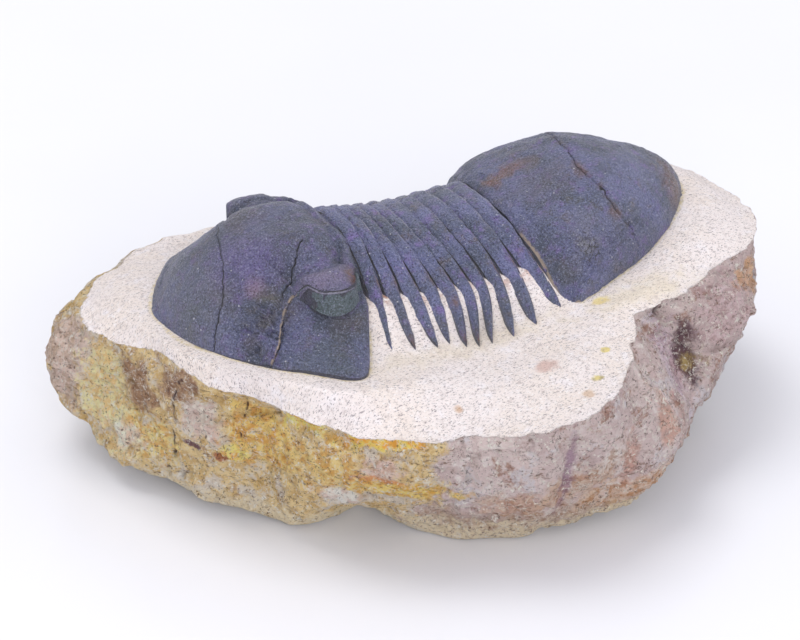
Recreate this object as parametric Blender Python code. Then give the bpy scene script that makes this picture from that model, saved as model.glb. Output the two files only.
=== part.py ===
"""A trilobite on the block of limestone that it was found in, as solids: the stone, the head shield in its
three plates, ten thoracic segments and the tail shield. Metres, Z up, the head towards -X.

Every shape is worked out in millimetres in the stone's own frame: x runs along the animal from head to
tail, y across it and z up from the surface that the stone lies on. build() centres the whole on the origin.
"""

import bmesh
import bpy
import numpy as np
from mathutils import Vector

MM = 0.001
GAP = 0.3  # left between plates that touch
BED_GAP = 0.5  # left between a plate and the stone under it
THINNEST = 0.25  # of a plate, where the stone would come through it
WELD = 0.02  # points this close become one
SMOOTH_BELOW = np.radians(32)

# The animal.
HEAD_FRONT_X = -29.05
HEAD_HALF_WIDTH = 21.2
HEAD_BLUNTNESS = 0.0292  # of the parabola of its front edge, 1/mm
SNOUT = 0.6  # how far the front edge comes forward of the parabola ...
SNOUT_W = 4.0  # ... here, and over this half width
FAR_CUT = 1.0  # how much lower the far side of the head's front is ...
FAR_CUT_W = (1, 9)  # ... growing over these distances from the midline ...
FAR_CUT_X = (-16.5, -22)  # ... over these places towards the front ...
FAR_CUT_OUT = (1, 0.7)  # ... and over these shares of the half width in from the margin
BEHIND = (-25, -15.5)  # where the dome in front turns into the ridge behind
SEGMENTS = 10
MARGIN_RISE = 0.65  # a plate's edge above the stone
FAR_SINK = 0.011  # of the far side, 1/mm, growing with the square of the distance past FAR_START
FAR_START = 6.0
FAR_WIDTH = 24.0

# The eye: a short drum at the side of the head with a flat lid that runs in to the glabella.
EYE_X = -12.3
EYE_W = 10.75
EYE_RADIUS = 3.25
LID_BLEND_OUT = 1.6  # the lid fades into the dome from this far outside the drum's radius ...
LID_BLEND_IN = 0.6  # ... to this far inside it
WALL_OUT = 0.35  # how far the foot of the eye's wall stands out from its rim
FAR_LID_RISE = 0.6  # the far eye stands a little higher than the near one ...
FAR_LID_FADE = 8.0  # ... growing over this distance from the midline
EYE_TURNS = (-72, 84)  # degrees round the drum from where the suture meets it to where it leaves
WALL_DROP = 0.15  # of the wall's top under the lid

# The blades at the ends of a thoracic segment.
GAP_BASE_V = 0.68  # where along a segment, from 0 at the midline to 1 at the tip, its blade begins
BLADE_TAPER = 1.35
BLADE_NARROWING = 0.92
BLADE_FALL = 1.08
BLADE_SWING = 0.7  # how much of the body's backward slope a blade starts with
JOINT_TRIM = GAP / 2 + 0.02
RING_FADE = 0.6  # how much lower a ring's rear lip is at the tip of the blade

# The stone is drawn in rings about this point.
STONE_X = 8.0
STONE_Y = 5.0
RIM_ROLL = 0.35  # how much the top swells between the bed and the rim
TIER_PHASE = 1.7  # how far the flank's lumps turn from tier to tier, in radians
MOUND_FRONT = (-24.0, -9.0)  # where the mound under the thorax grows ...
MOUND_REAR = (30.0, 16.0)  # ... and where it fades


def curve(*knots):
    """A smooth line through (place, value) knots, read by a function of the place."""
    at, value = np.array(knots, float).T
    slope = np.gradient(value, at)

    def read(place):
        place = np.clip(place, at[0], at[-1])
        i = np.clip(np.searchsorted(at, place) - 1, 0, len(at) - 2)
        span = at[i + 1] - at[i]
        t = (place - at[i]) / span
        start = (1 + 2 * t) * (1 - t) ** 2 * value[i] + t * (1 - t) ** 2 * span * slope[i]
        end = t * t * (3 - 2 * t) * value[i + 1] - t * t * (1 - t) * span * slope[i + 1]
        return start + end

    return read


def ring(*knots):
    """A closed smooth line through (degrees, value) knots."""
    knots = sorted(knots)
    before = [(angle - 360, value) for angle, value in knots[-3:]]
    after = [(angle + 360, value) for angle, value in knots[:3]]
    read = curve(*before, *knots, *after)
    return lambda degrees: read(np.mod(degrees, 360))


def smoothstep(low, high, x):
    t = np.clip((x - low) / (high - low), 0, 1)
    return t * t * (3 - 2 * t)


# The animal's midline seen from above: straight, but for a head that lies a little askew.
midline = curve((-36, 8.0), (-30, 7.6), (-20, 6.8), (-12, 6.1), (-6, 5.7), (0, 5.6), (60, 5.6))


def far_fall(w):
    """How much lower the bed and the animal lie on the far side, which sank a little."""
    return FAR_SINK * np.clip(w - FAR_START, 0, FAR_WIDTH) ** 2


def placed(x, w, height):
    """Points of the animal, from the distance w to one side of its midline."""
    return np.stack([x, midline(x) + w, height - far_fall(w)], -1)


# ---------------------------------------------------------------- the stone

bed_along = curve(
    (-40, 21.6), (-30, 23.2), (-16, 23.3), (-6, 22.7), (5, 22.3), (16, 23.4), (30, 25.0), (45, 27.2), (54, 26.6)
)
mound_along = curve((-12, 27.4), (-6, 27.0), (5, 26.3), (20, 26.6))
mound_across = curve((0, 1), (9, 1), (10.5, 0.93), (12, 0.77), (14, 0.46), (16.5, 0.12), (18.3, 0), (30, 0))


def bed(x, w):
    """Height of the stone under the animal: a gentle rise to the tail, and a mound that fills the thorax."""
    base = bed_along(x)
    length = smoothstep(*MOUND_FRONT, x) * smoothstep(*MOUND_REAR, x)
    return base + (mound_along(x) - base) * length * mound_across(np.abs(w)) - far_fall(w)


def at_angle(table, column):
    return ring(*[(row[0], row[column]) for row in table])


# Rings of the stone: (degrees about the centre, radius, height). 0 is +X, the tail end, and 270 is -Y.
APRON = (
    (0, 37.5), (15, 34), (30, 29), (45, 26), (60, 22), (75, 20.5), (90, 20), (105, 21.5), (120, 25.5),
    (135, 32), (145, 35.5), (160, 38), (180, 39), (195, 37), (210, 34), (222, 32.5), (235, 27), (250, 22.5),
    (265, 21.5), (280, 21), (300, 23.3), (315, 25.5), (330, 29), (345, 34),
)
RIM = (
    (0, 43.2, 25.0), (10, 42.4, 24.8), (22, 39.8, 24.4), (35, 35, 22.8), (50, 29.5, 20.4), (65, 24.6, 18.8),
    (80, 22.8, 18.4), (95, 24.6, 19.0), (110, 28.8, 20.2), (127, 34.5, 20.9), (137, 41.5, 20), (144, 43, 20),
    (151, 45.8, 20), (158, 46.6, 20), (164, 45.8, 19.8), (171, 42.6, 20), (177, 40.5, 20.5), (184, 39.3, 20.5),
    (192, 38.2, 20.2), (201, 35.8, 19.8), (212, 35.2, 19.6), (225, 35.5, 19), (238, 35.2, 18.6), (250, 35.2, 19.2),
    (260, 37.3, 20), (268, 38, 20.8), (277, 36.9, 21.6), (286, 33.6, 22.2), (296, 29.8, 22.8), (308, 28.6, 23.6),
    (316, 31.9, 24), (329, 36.5, 24.5), (339, 42, 25), (348, 43.6, 25),
)
SHOULDER = (
    (0, 45, 20), (22, 43.5, 19), (40, 39, 17), (60, 32, 15), (80, 29.5, 14), (100, 31, 15), (127, 38.5, 16),
    (144, 46, 16), (158, 49.8, 16), (171, 44.6, 15.5), (184, 40.4, 16), (200, 36.6, 15.5), (215, 36, 15),
    (235, 36, 14), (250, 36.2, 14), (264, 38.4, 15), (275, 38.4, 16), (284, 37.2, 16.4), (294, 36.6, 16),
    (303, 35.5, 15.5), (309, 33, 16.5), (315, 34.4, 19), (326, 39.5, 20), (338, 42.4, 21), (348, 44.2, 20.5),
)
BELLY = (
    (0, 44, 13), (25, 43, 12), (45, 40, 10), (65, 35, 9), (90, 32.5, 9), (115, 35, 9), (135, 41, 10),
    (150, 48.5, 10.5), (160, 50, 9), (171, 45, 9), (184, 39.6, 9), (200, 35.4, 8), (215, 34, 8), (228, 33, 8),
    (240, 33.5, 8), (255, 34.6, 8), (268, 36.6, 8.5), (275, 35.4, 8.5), (288, 37.2, 9), (300, 38.2, 10),
    (308, 36.6, 12), (316, 38.4, 14), (326, 41.2, 16), (336, 42.4, 16.5), (348, 43.4, 15),
)
FOOT = (
    (0, 36, 4), (30, 36, 3.5), (60, 31, 3), (90, 29, 3), (120, 31, 3), (140, 38, 3.5), (155, 44, 4.5),
    (163, 46, 4.6), (170, 44.2, 3.8), (180, 39.6, 2.6), (195, 34.2, 1.8), (207, 32.2, 1.2), (214, 30, 1.8),
    (220, 29, 3.2), (228, 28, 2.2), (238, 28.6, 1), (250, 29.2, 0.8), (262, 30.6, 0.8), (272, 31, 1.6),
    (281, 32.4, 2.2), (290, 34.5, 2.4), (297, 36, 4.4), (305, 35.5, 6), (315, 34, 6), (330, 35.5, 5), (345, 36, 4.5),
)
SOLE = (
    (0, 24), (40, 24), (70, 22), (100, 21), (130, 25), (155, 31), (175, 29), (195, 29), (207, 28), (219, 21),
    (228, 22), (238, 25.5), (250, 26), (262, 27), (272, 27), (285, 26), (300, 25), (320, 24), (340, 24),
)
LAST_RING = 10

# Upright hollows in the flank: (degrees, half width in degrees, depth).
HOLLOWS = ((30, 9, 1.6), (72, 7, 1.4), (118, 8, 1.8), (171, 4, 0.7), (204, 3, 0.6), (241, 5, 0.8), (268, 3.5, 1.3))
LUMPS = ((5, 0.4, 0.45), (11, 1.9, 0.35), (19, 4.0, 0.25))  # (waves round the stone, phase, height)


def flank_relief(degrees, tier):
    """What the flank's radius gains from its lumps and loses in its hollows, at one of its tiers."""
    turn = np.radians(degrees)
    relief = sum(height * np.sin(waves * turn + phase + TIER_PHASE * tier) for waves, phase, height in LUMPS)
    for at, half_width, depth in HOLLOWS:
        away = (degrees - at + 180) % 360 - 180
        relief = relief - depth * np.exp(-((away / half_width) ** 2))
    return relief


def stone_rings(degrees):
    """The stone's rings at these angles, as (radius, height) columns: the bed, the rim, the flank and the sole."""
    turn = np.radians(degrees)
    apron = ring(*APRON)(degrees)

    def on_bed(radius):
        x = STONE_X + radius * np.cos(turn)
        return radius, bed(x, STONE_Y + radius * np.sin(turn) - midline(x))

    rings = [on_bed(apron * share) for share in (0, 1 / 3, 2 / 3, 1)]
    rim = at_angle(RIM, 1)(degrees), at_angle(RIM, 2)(degrees)
    rings.append(((rings[3][0] + rim[0]) / 2, (rings[3][1] + rim[1]) / 2 + RIM_ROLL))
    rings.append(rim)
    for tier, table in enumerate((SHOULDER, BELLY, FOOT)):
        radius = at_angle(table, 1)(degrees) + flank_relief(degrees, tier)
        rings.append((radius, at_angle(table, 2)(degrees)))
    rings.append((ring(*SOLE)(degrees), np.zeros_like(degrees)))
    rings.append((np.zeros_like(degrees), np.zeros_like(degrees)))
    return np.array(rings)


def stone_surface(station, degrees):
    """The stone's skin: straight between its rings, but on the bed, where the height is the bed's own."""
    rings = stone_rings(degrees)
    low = np.clip(np.floor(station).astype(int), 0, LAST_RING - 1)
    part = station - low
    column = np.arange(len(degrees))
    radius = rings[low, 0, column] * (1 - part) + rings[low + 1, 0, column] * part
    height = rings[low, 1, column] * (1 - part) + rings[low + 1, 1, column] * part
    turn = np.radians(degrees)
    x = STONE_X + radius * np.cos(turn)
    y = STONE_Y + radius * np.sin(turn)
    height = np.where(station <= 3, bed(x, y - midline(x)), height)
    return np.stack([x, y, height], -1)


# ---------------------------------------------------------------- the head

head_back_x = curve((0, -7.0), (6, -7.3), (10.4, -7.85))
head_crest = curve(
    (-29.5, 23.7), (-28.6, 25.2), (-27.6, 27.2), (-25.5, 29.8), (-22, 32.6), (-16, 34.8), (-11, 34.9), (-6.5, 33.4)
)
front_fall = curve((0, 1), (0.3, 0.94), (0.55, 0.76), (0.75, 0.50), (0.9, 0.24), (1, 0))
back_fall = curve((0, 1), (0.26, 0.96), (0.37, 0.80), (0.49, 0.52), (0.62, 0.36), (0.8, 0.15), (1, 0))
lid_height = curve((3, 34.6), (6, 33.6), (8, 32.8), (10.5, 32.0), (13.2, 31.3))


def head_front_x(w):
    """The front edge of the head seen from above: a blunt parabola with a low snout."""
    return HEAD_FRONT_X + HEAD_BLUNTNESS * w ** 2 - SNOUT * np.exp(-((w - SNOUT_W) / SNOUT_W) ** 2)


def head_half_width(x):
    return np.clip(np.sqrt(np.clip(x - HEAD_FRONT_X, 1e-6, None) / HEAD_BLUNTNESS), 0, HEAD_HALF_WIDTH)


def head_dome(x, w):
    """Height of the head without its eyes: a dome in front, and behind it a ridge that falls to flat cheeks."""
    edge = bed_along(x) + MARGIN_RISE
    out = np.clip(np.abs(w) / head_half_width(x), 0, 1)
    behind = smoothstep(*BEHIND, x)
    fall = front_fall(out) * (1 - behind) + back_fall(out) * behind
    cut = FAR_CUT * smoothstep(*FAR_CUT_W, w) * smoothstep(*FAR_CUT_X, x) * smoothstep(*FAR_CUT_OUT, out)
    return edge + (head_crest(x) - edge) * fall - cut


def head_top(x, w):
    """Height of the middle plate of the head: the dome, with a lid that runs out level over each eye."""
    dome = head_dome(x, w)
    lid = lid_height(np.abs(w)) + FAR_LID_RISE * smoothstep(0, FAR_LID_FADE, w)
    on_lid = smoothstep(EYE_RADIUS + LID_BLEND_OUT, EYE_RADIUS - LID_BLEND_IN, np.abs(x - EYE_X))
    return dome + np.maximum(lid - dome, 0) * on_lid


# The facial suture on one side, from the front edge to the back: it runs round the eye on the way.
SUTURE_FRONT = ((-22.1, 15.4), (-21.3, 15.1), (-20.6, 14.6), (-20, 13.7), (-19, 12.3), (-17.8, 10.9), (-16.4, 10.0))
SUTURE_BACK = (-7.85, 10.4)


def suture(place):
    """(x, w) of the suture at places from 0 at the front edge to 1 at the back."""
    turns = np.linspace(*EYE_TURNS, 9)
    eye_x = EYE_X + EYE_RADIUS * np.sin(np.radians(turns))
    eye_w = EYE_W + EYE_RADIUS * np.cos(np.radians(turns))
    x = np.concatenate([[point[0] for point in SUTURE_FRONT], eye_x, [SUTURE_BACK[0]]])
    w = np.concatenate([[point[1] for point in SUTURE_FRONT], eye_w, [SUTURE_BACK[1]]])
    step = np.hypot(np.diff(x), np.diff(w))
    run = np.concatenate([[0], np.cumsum(step)]) / step.sum()
    return curve(*zip(run, x))(place), curve(*zip(run, w))(place)


def cheek_edge(place):
    """(x, w) of a free cheek's outer edge, from the suture's front end round the genal corner to its back end."""
    start_x, start_w = SUTURE_FRONT[0]
    x = (start_x, -20.8, -18.8, -17.0, -15.6, -14.3, -13.2, -12.3, -11.4, -10.3, -9.3, -8.5, -8.05, SUTURE_BACK[0])
    w = (start_w, 16.6, 18.1, 19.5, 20.5, 21.1, 21.2, 20.8, 19.6, 17.5, 15.4, 13.6, 12.0, SUTURE_BACK[1])
    step = np.hypot(np.diff(x), np.diff(w))
    run = np.concatenate([[0], np.cumsum(step)]) / step.sum()
    return curve(*zip(run, x))(place), curve(*zip(run, w))(place)


def cranidium_surface(back, side):
    """The middle plate of the head: back runs 0 to 1 from front to rear, side -1 to 1 from suture to suture."""
    x, w = suture(back)
    w = w - GAP / 2
    first_x, first_w = SUTURE_FRONT[0]
    front = head_front_x(side * first_w) - head_front_x(first_w)
    rear = head_back_x(np.abs(side) * SUTURE_BACK[1]) - SUTURE_BACK[0]
    x = x + front * (1 - back) + rear * back
    w = w * side
    return placed(x, w, head_top(x, w))


def cheek_surface(out, back, side):
    """A free cheek: out runs 0 to 1 from the suture to the outer edge. The eye's wall is its first strip."""
    inner_x, inner_w = suture(back)
    inner_w = inner_w + GAP / 2
    outer_x, outer_w = cheek_edge(back)
    reach = np.maximum(np.hypot(outer_x - inner_x, outer_w - inner_w), WALL_OUT)
    wall = WALL_OUT / reach
    share = np.where(out > 0, wall + out * (1 - wall), 0)
    x = inner_x * (1 - share) + outer_x * share
    w = inner_w * (1 - share) + outer_w * share
    height = np.where(out > 0, head_dome(x, w), head_top(inner_x, inner_w) - WALL_DROP)
    return placed(x, side * w, height)


# ---------------------------------------------------------------- the thorax

axis_x = curve(
    (0, -6.9), (0.1, -4.9), (0.2, -3.15), (0.3, -1.5), (0.4, 0.3), (0.5, 2.3), (0.6, 4.7), (0.8, 9.7), (1, 14.8)
)
gap_x = curve((0, -7.15), (0.1, -5.0), (0.5, 4.5), (0.8, 11.1), (1, 16.6))
gap_w = curve((0, 9.7), (0.1, 10.3), (0.3, 10.9), (0.7, 11.5), (1, 11.1))
thorax_crest = curve((0, 33.9), (0.15, 33.3), (0.3, 32.7), (0.6, 31.7), (1, 31.6))
gap_height = curve((0, 29.0), (0.1, 28.4), (0.3, 27.6), (0.6, 27.2), (1, 27.6))
tip_height = curve((0, 23.5), (0.5, 22.9), (0.85, 23.2), (1, 24.3))
# Where the blade of each segment ends: (x, distance from the midline).
TIPS = (
    (-7.0, 16.9), (-4.1, 17.5), (-1.2, 17.8), (0.6, 17.6), (2.4, 18.7),
    (3.9, 19.2), (5.7, 19.3), (8.7, 19.4), (12.2, 18.9), (16.1, 18.5),
)
ring_rise = curve((0, -0.3), (0.2, 0.05), (0.6, 0.35), (0.9, 0.3), (1, 0.1))


def segment_surface(number, across, reach):
    """A thoracic segment: across runs 0 to 1 from its front edge to its rear, reach -1 to 1 from tip to tip."""
    middle = (number + 0.5) / SEGMENTS
    place = (number + across) / SEGMENTS
    tip_x, tip_w = TIPS[number]
    side = np.abs(reach)
    inner = np.minimum(side / GAP_BASE_V, 1)
    blade = np.clip((side - GAP_BASE_V) / (1 - GAP_BASE_V), 0, 1)
    w = gap_w(place) * inner
    w = w + (tip_w - w) * blade
    body_x = axis_x(place) + (gap_x(place) - axis_x(place)) * inner ** 2
    width = 1 - BLADE_NARROWING * blade ** BLADE_TAPER
    slope = 2 * (gap_x(middle) - axis_x(middle)) / gap_w(middle) * (tip_w - gap_w(middle)) * BLADE_SWING
    swing = gap_x(middle) + (tip_x - gap_x(middle)) * blade * blade * (3 - 2 * blade)
    swing = swing + slope * blade * (1 - blade) ** 2 + (tip_x - gap_x(middle)) * blade * blade * (blade - 1)
    blade_x = swing + (gap_x(place) - gap_x(middle)) * width
    x = np.where(blade > 0, blade_x, body_x) + JOINT_TRIM * (1 - 2 * across) * width
    height = thorax_crest(place) - (thorax_crest(place) - gap_height(place)) * inner ** 2
    height = height - (gap_height(middle) - tip_height(middle)) * blade ** BLADE_FALL
    height = height + ring_rise(across) * (1 - RING_FADE * blade)
    return placed(x, np.sign(reach) * w, height)


# ---------------------------------------------------------------- the tail

TAIL_EDGE = (
    (18.1, 18.6), (17.6, 21.0), (16.2, 25.0), (13.7, 31.1), (10.9, 36.1), (6.0, 41.9), (2.8, 44.1), (0, 44.7),
)
TAIL_FRONT = (
    (0, 15.3), (6, 15.6), (10, 16.1), (12.7, 16.5), (15.2, 16.8), (16.8, 17.1), (17.8, 17.8), (18.1, 18.6),
)
tail_crest = curve(
    (15, 31.2), (16, 31.7), (20, 33.3), (25, 35.2), (29, 35.9), (33, 35.1), (37, 33.5), (42.6, 30.6), (44.8, 28.2)
)
tail_front_x = curve(*TAIL_FRONT)
TAIL_FALL = 0.6
TAIL_SHOULDER = 7.0  # how far back the rounding of its front corners reaches ...
TAIL_SHOULDER_W = (8, 19)  # ... growing over these distances from the midline


def tail_edge(place):
    """(x, w) of the tail's outer edge, from its front corner at 0 to its end at 1."""
    w, x = np.array(TAIL_EDGE).T
    step = np.hypot(np.diff(x), np.diff(w))
    run = np.concatenate([[0], np.cumsum(step)]) / step.sum()
    return curve(*zip(run, x))(place), curve(*zip(run, w))(place)


def tail_half_width(x):
    place = np.linspace(0, 1, 200)
    edge_x, edge_w = tail_edge(place)
    return np.maximum(np.interp(x, edge_x, edge_w), 1e-3)


def tail_dome(x, w):
    """Height of the tail: a dome, cut down at its two front corners."""
    edge = bed(x, w) + far_fall(w) + MARGIN_RISE
    across = np.abs(w) / tail_half_width(x)
    forward = np.clip(1 - (x - tail_front_x(np.abs(w))) / TAIL_SHOULDER, 0, 1)
    rounding = smoothstep(*TAIL_SHOULDER_W, np.abs(w)) * forward ** 2
    return edge + (tail_crest(x) - edge) * (np.clip(1 - across ** 2, 0, 1) * (1 - rounding)) ** TAIL_FALL


def tail_surface(back, reach):
    """The tail shield: back runs 0 to 1 from its front edge to its rear, reach -1 to 1 from corner to corner."""
    side = np.abs(reach)
    edge_x, edge_w = tail_edge(1 - side)
    front_w = side * TAIL_FRONT[-1][0]
    front_x = tail_front_x(front_w) + GAP
    x = front_x * (1 - back) + edge_x * back
    w = (front_w * (1 - back) + edge_w * back) * np.sign(reach)
    return placed(x, w, tail_dome(x, w))


# ---------------------------------------------------------------- making the solids

SHELL = ((0.055, 0.055, 0.105, 1.0), 0.5)  # colour and roughness
STONE = ((0.62, 0.50, 0.44, 1.0), 0.9)


def material(name, colour, roughness):
    made = bpy.data.materials.new(name)
    made.use_nodes = True
    shader = made.node_tree.nodes["Principled BSDF"]
    shader.inputs["Base Color"].default_value = colour
    shader.inputs["Roughness"].default_value = roughness
    shader.inputs["Metallic"].default_value = 0.0
    return made


def sheet(rows, columns, surface):
    """A sheet of faces: a grid whose points are moved to surface(row share, column share)."""
    bm = bmesh.new()
    bmesh.ops.create_grid(bm, x_segments=len(rows) - 1, y_segments=len(columns) - 1, size=1.0)
    bm.verts.ensure_lookup_table()
    plan = np.array([vertex.co[:2] for vertex in bm.verts])
    row = np.rint((plan[:, 0] + 1) / 2 * (len(rows) - 1)).astype(int)
    column = np.rint((plan[:, 1] + 1) / 2 * (len(columns) - 1)).astype(int)
    points = surface(np.asarray(rows, float)[row], np.asarray(columns, float)[column])
    for vertex, point in zip(bm.verts, points):
        vertex.co = point
    return bm


def drop_to_bed(bm):
    """Makes a sheet a solid: it is extruded straight down to the bed, less the gap."""
    made = bmesh.ops.extrude_face_region(bm, geom=bm.faces[:], use_keep_orig=True)
    lower = [item for item in made["geom"] if isinstance(item, bmesh.types.BMVert)]
    for vertex in lower:
        under = float(bed(vertex.co.x, vertex.co.y - midline(vertex.co.x))) + BED_GAP
        vertex.co.z = min(under, vertex.co.z - THINNEST)
    return bm


def finished(name, bm, look, shift):
    """Closes the seams, turns the faces out and puts the solid in the scene."""
    bmesh.ops.remove_doubles(bm, verts=bm.verts[:], dist=WELD)
    bmesh.ops.recalc_face_normals(bm, faces=bm.faces[:])
    bmesh.ops.triangulate(bm, faces=bm.faces[:])
    for vertex in bm.verts:
        vertex.co = (vertex.co + shift) * MM
    mesh = bpy.data.meshes.new(name)
    bm.to_mesh(mesh)
    bm.free()
    mesh.materials.append(material(name, *look))
    mesh.shade_smooth()
    mesh.set_sharp_from_angle(angle=SMOOTH_BELOW)
    bpy.context.scene.collection.objects.link(bpy.data.objects.new(name, mesh))


def stone():
    stations = (0, 0.5, 1, 1.5, 2, 2.5, 3, 3.5, 4, 5, 6, 7, 8, 9, 10)
    return sheet(stations, np.arange(0, 361, 5), stone_surface)


def cranidium():
    rows = np.concatenate([np.linspace(0, 0.5, 8), np.linspace(0.56, 1, 10)])
    return drop_to_bed(sheet(rows, np.linspace(-1, 1, 23), cranidium_surface))


def free_cheek(side):
    rows = (0, 0.02, 0.2, 0.4, 0.6, 0.8, 1)
    return drop_to_bed(sheet(rows, np.linspace(0, 1, 22), lambda out, back: cheek_surface(out, back, side)))


def segment(number):
    half = np.concatenate([np.linspace(0, GAP_BASE_V, 7), np.linspace(GAP_BASE_V, 1, 5)[1:]])
    reach = np.concatenate([-half[:0:-1], half])
    return drop_to_bed(
        sheet((0, 0.2, 0.7, 1), reach, lambda across, place: segment_surface(number, across, place))
    )


def tail():
    return drop_to_bed(sheet(np.linspace(0, 1, 12), np.linspace(-1, 1, 25), tail_surface))


def build():
    for old in list(bpy.data.objects):
        bpy.data.objects.remove(old)
    rock = stone()
    plates = {"cranidium": cranidium(), "left_free_cheek": free_cheek(-1), "right_free_cheek": free_cheek(1)}
    for number in range(SEGMENTS):
        plates[f"thoracic_segment_{number + 1:02d}"] = segment(number)
    plates["pygidium"] = tail()
    corners = np.array([vertex.co[:] for vertex in rock.verts])
    middle = (corners.min(0) + corners.max(0)) / 2
    shift = Vector((-middle[0], -middle[1], 0.0))
    finished("matrix", rock, STONE, shift)
    for name, plate in plates.items():
        finished(name, plate, SHELL, shift)


build()
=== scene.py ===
"""A trilobite on the block of limestone that it was found in, dressed for a close look.

Shapes are worked out in millimetres in the stone's own frame, as the solids are: x runs along the animal from
head to tail, y across it, z up from the surface that the stone lies on, and w is the distance to one side of
the animal's midline. Every mesh is a grid of two parameters, worked out with numpy as whole arrays.
"""

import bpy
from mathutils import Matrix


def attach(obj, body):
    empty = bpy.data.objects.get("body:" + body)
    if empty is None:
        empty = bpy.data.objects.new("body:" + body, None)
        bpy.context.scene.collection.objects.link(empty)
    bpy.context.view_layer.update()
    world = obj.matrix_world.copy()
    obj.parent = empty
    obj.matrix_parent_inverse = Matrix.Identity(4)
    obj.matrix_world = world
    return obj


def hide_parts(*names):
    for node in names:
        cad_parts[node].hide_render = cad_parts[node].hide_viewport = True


bl_info = {
    "name": "Trilobite on limestone",
    "version": (1, 0, 0),
    "blender": (4, 5, 0),
    "location": "View3D > Sidebar > Trilobite",
    "description": "Makes a trilobite fossil on its stone, with a stage and a camera",
    "category": "Add Mesh",
}

import bpy
import numpy as np
from bpy.props import FloatProperty, FloatVectorProperty, IntProperty, PointerProperty
from mathutils import Vector

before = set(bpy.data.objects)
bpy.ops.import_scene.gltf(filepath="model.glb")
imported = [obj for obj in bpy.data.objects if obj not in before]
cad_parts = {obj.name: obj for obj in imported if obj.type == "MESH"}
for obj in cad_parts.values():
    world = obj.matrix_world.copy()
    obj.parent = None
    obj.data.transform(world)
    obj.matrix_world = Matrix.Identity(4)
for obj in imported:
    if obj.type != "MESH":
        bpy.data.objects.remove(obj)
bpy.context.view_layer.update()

MM = 0.001
BODY = "root"
FRAME_ORIGIN = np.array([-7.00678, -2.46584, 0.0])  # the stone frame's origin in the model's frame

# ---------------------------------------------------------------- lines and noise


def cubic(value, slope, i, t, span):
    """The cubic piece from knot i to the next, at the share t of the span between them."""
    start = (1 + 2 * t) * (1 - t) ** 2 * value[i] + t * (1 - t) ** 2 * span * slope[i]
    end = t * t * (3 - 2 * t) * value[i + 1] - t * t * (1 - t) * span * slope[i + 1]
    return start + end


def curve(*knots):
    """A smooth line through (place, value) knots, read by a function of the place: cubic pieces whose slopes at
    the knots are the mean slopes about them."""
    at, value = np.array(knots, float).T
    slope = np.gradient(value, at)

    def read(place):
        place = np.clip(place, at[0], at[-1])
        i = np.clip(np.searchsorted(at, place) - 1, 0, len(at) - 2)
        span = at[i + 1] - at[i]
        return cubic(value, slope, i, (place - at[i]) / span, span)

    return read


def by_length(x, w, place):
    """Points of the smooth line through (x, w) points, at places from 0 to 1 of its length."""
    step = np.hypot(np.diff(x), np.diff(w))
    run = np.concatenate([[0], np.cumsum(step)]) / step.sum()
    return curve(*zip(run, x))(place), curve(*zip(run, w))(place)


def ring(*knots):
    """A closed smooth line through (degrees, value) knots."""
    knots = sorted(knots)
    before = [(angle - 360, value) for angle, value in knots[-3:]]
    after = [(angle + 360, value) for angle, value in knots[:3]]
    read = curve(*before, *knots, *after)
    return lambda degrees: read(np.mod(degrees, 360))


def smoothstep(low, high, x):
    t = np.clip((x - low) / (high - low), 0, 1)
    return t * t * (3 - 2 * t)


def bell(x, width):
    """1 at x = 0, falling to 1/e at the width."""
    return np.exp(-((x / width) ** 2))


def turned(degrees, middle):
    """How far these angles are turned from a middle one, from -180 to 180."""
    return (degrees - middle + 180) % 360 - 180


FACTORS = (73856093, 19349663, 83492791, 26544357)  # for a cell's three coordinates and the seed
FOLDS = ((13, 1274126177), (15, 1146822519))  # (shift, factor)
LAST_SHIFT = 16
KEPT_BITS, USED_BITS = 0xFFFFFFFF, 0xFFFFFF


def scatter(cell, seed):
    """A number from 0 to 1 for each whole-numbered cell: its coordinates are multiplied, mixed and folded."""
    parts = [*np.moveaxis(cell.astype(np.int64), -1, 0), seed]
    x, y, z, seed = (part * factor for part, factor in zip(parts, FACTORS))
    mixed = (x ^ y ^ z ^ seed) & KEPT_BITS
    for shift, factor in FOLDS:
        mixed = ((mixed ^ (mixed >> shift)) * factor) & KEPT_BITS
    mixed = mixed ^ (mixed >> LAST_SHIFT)
    return (mixed & USED_BITS) / USED_BITS


def noise(points, size, seed):
    """Smooth noise from -1 to 1: the corners of cells of this size have random values, blended across the cell."""
    scaled = points / size
    cell = np.floor(scaled)
    t = scaled - cell
    t = t * t * t * (t * (t * 6 - 15) + 10)
    total = np.zeros(points.shape[:-1])
    for corner in np.ndindex(2, 2, 2):
        weight = np.prod(np.where(np.array(corner) == 1, t, 1 - t), axis=-1)
        total = total + weight * scatter(cell + np.array(corner), seed)
    return 2 * total - 1


def rough(points, size, seed, octaves=4, keep=0.5):
    """Noise at ever finer sizes, each half the last and keep times as high."""
    return sum(keep**k * noise(points, size / 2**k, seed + 17 * k) for k in range(octaves))


def chips(points, size, seed):
    """Broken facets: each cell about a random point is a plane through it with a tilt of its own. Also how far
    a point is from the edge of its facet, 0 on the edge."""
    scaled = points / size
    cell = np.floor(scaled)
    nearest = np.full(points.shape[:-1], 9.0)
    second = nearest.copy()
    height = np.zeros(points.shape[:-1])
    for corner in np.ndindex(3, 3, 3):
        at = cell + np.array(corner) - 1
        middle = at + np.stack([scatter(at, seed + k) for k in range(3)], -1)
        tilt = np.stack([scatter(at, seed + 7 + k) for k in range(3)], -1) * 2 - 1
        away = scaled - middle
        distance = np.linalg.norm(away, axis=-1)
        closer = distance < nearest
        second = np.where(closer, nearest, np.minimum(second, distance))
        height = np.where(closer, (away * tilt).sum(-1), height)
        nearest = np.where(closer, distance, nearest)
    return height, second - nearest


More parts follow.
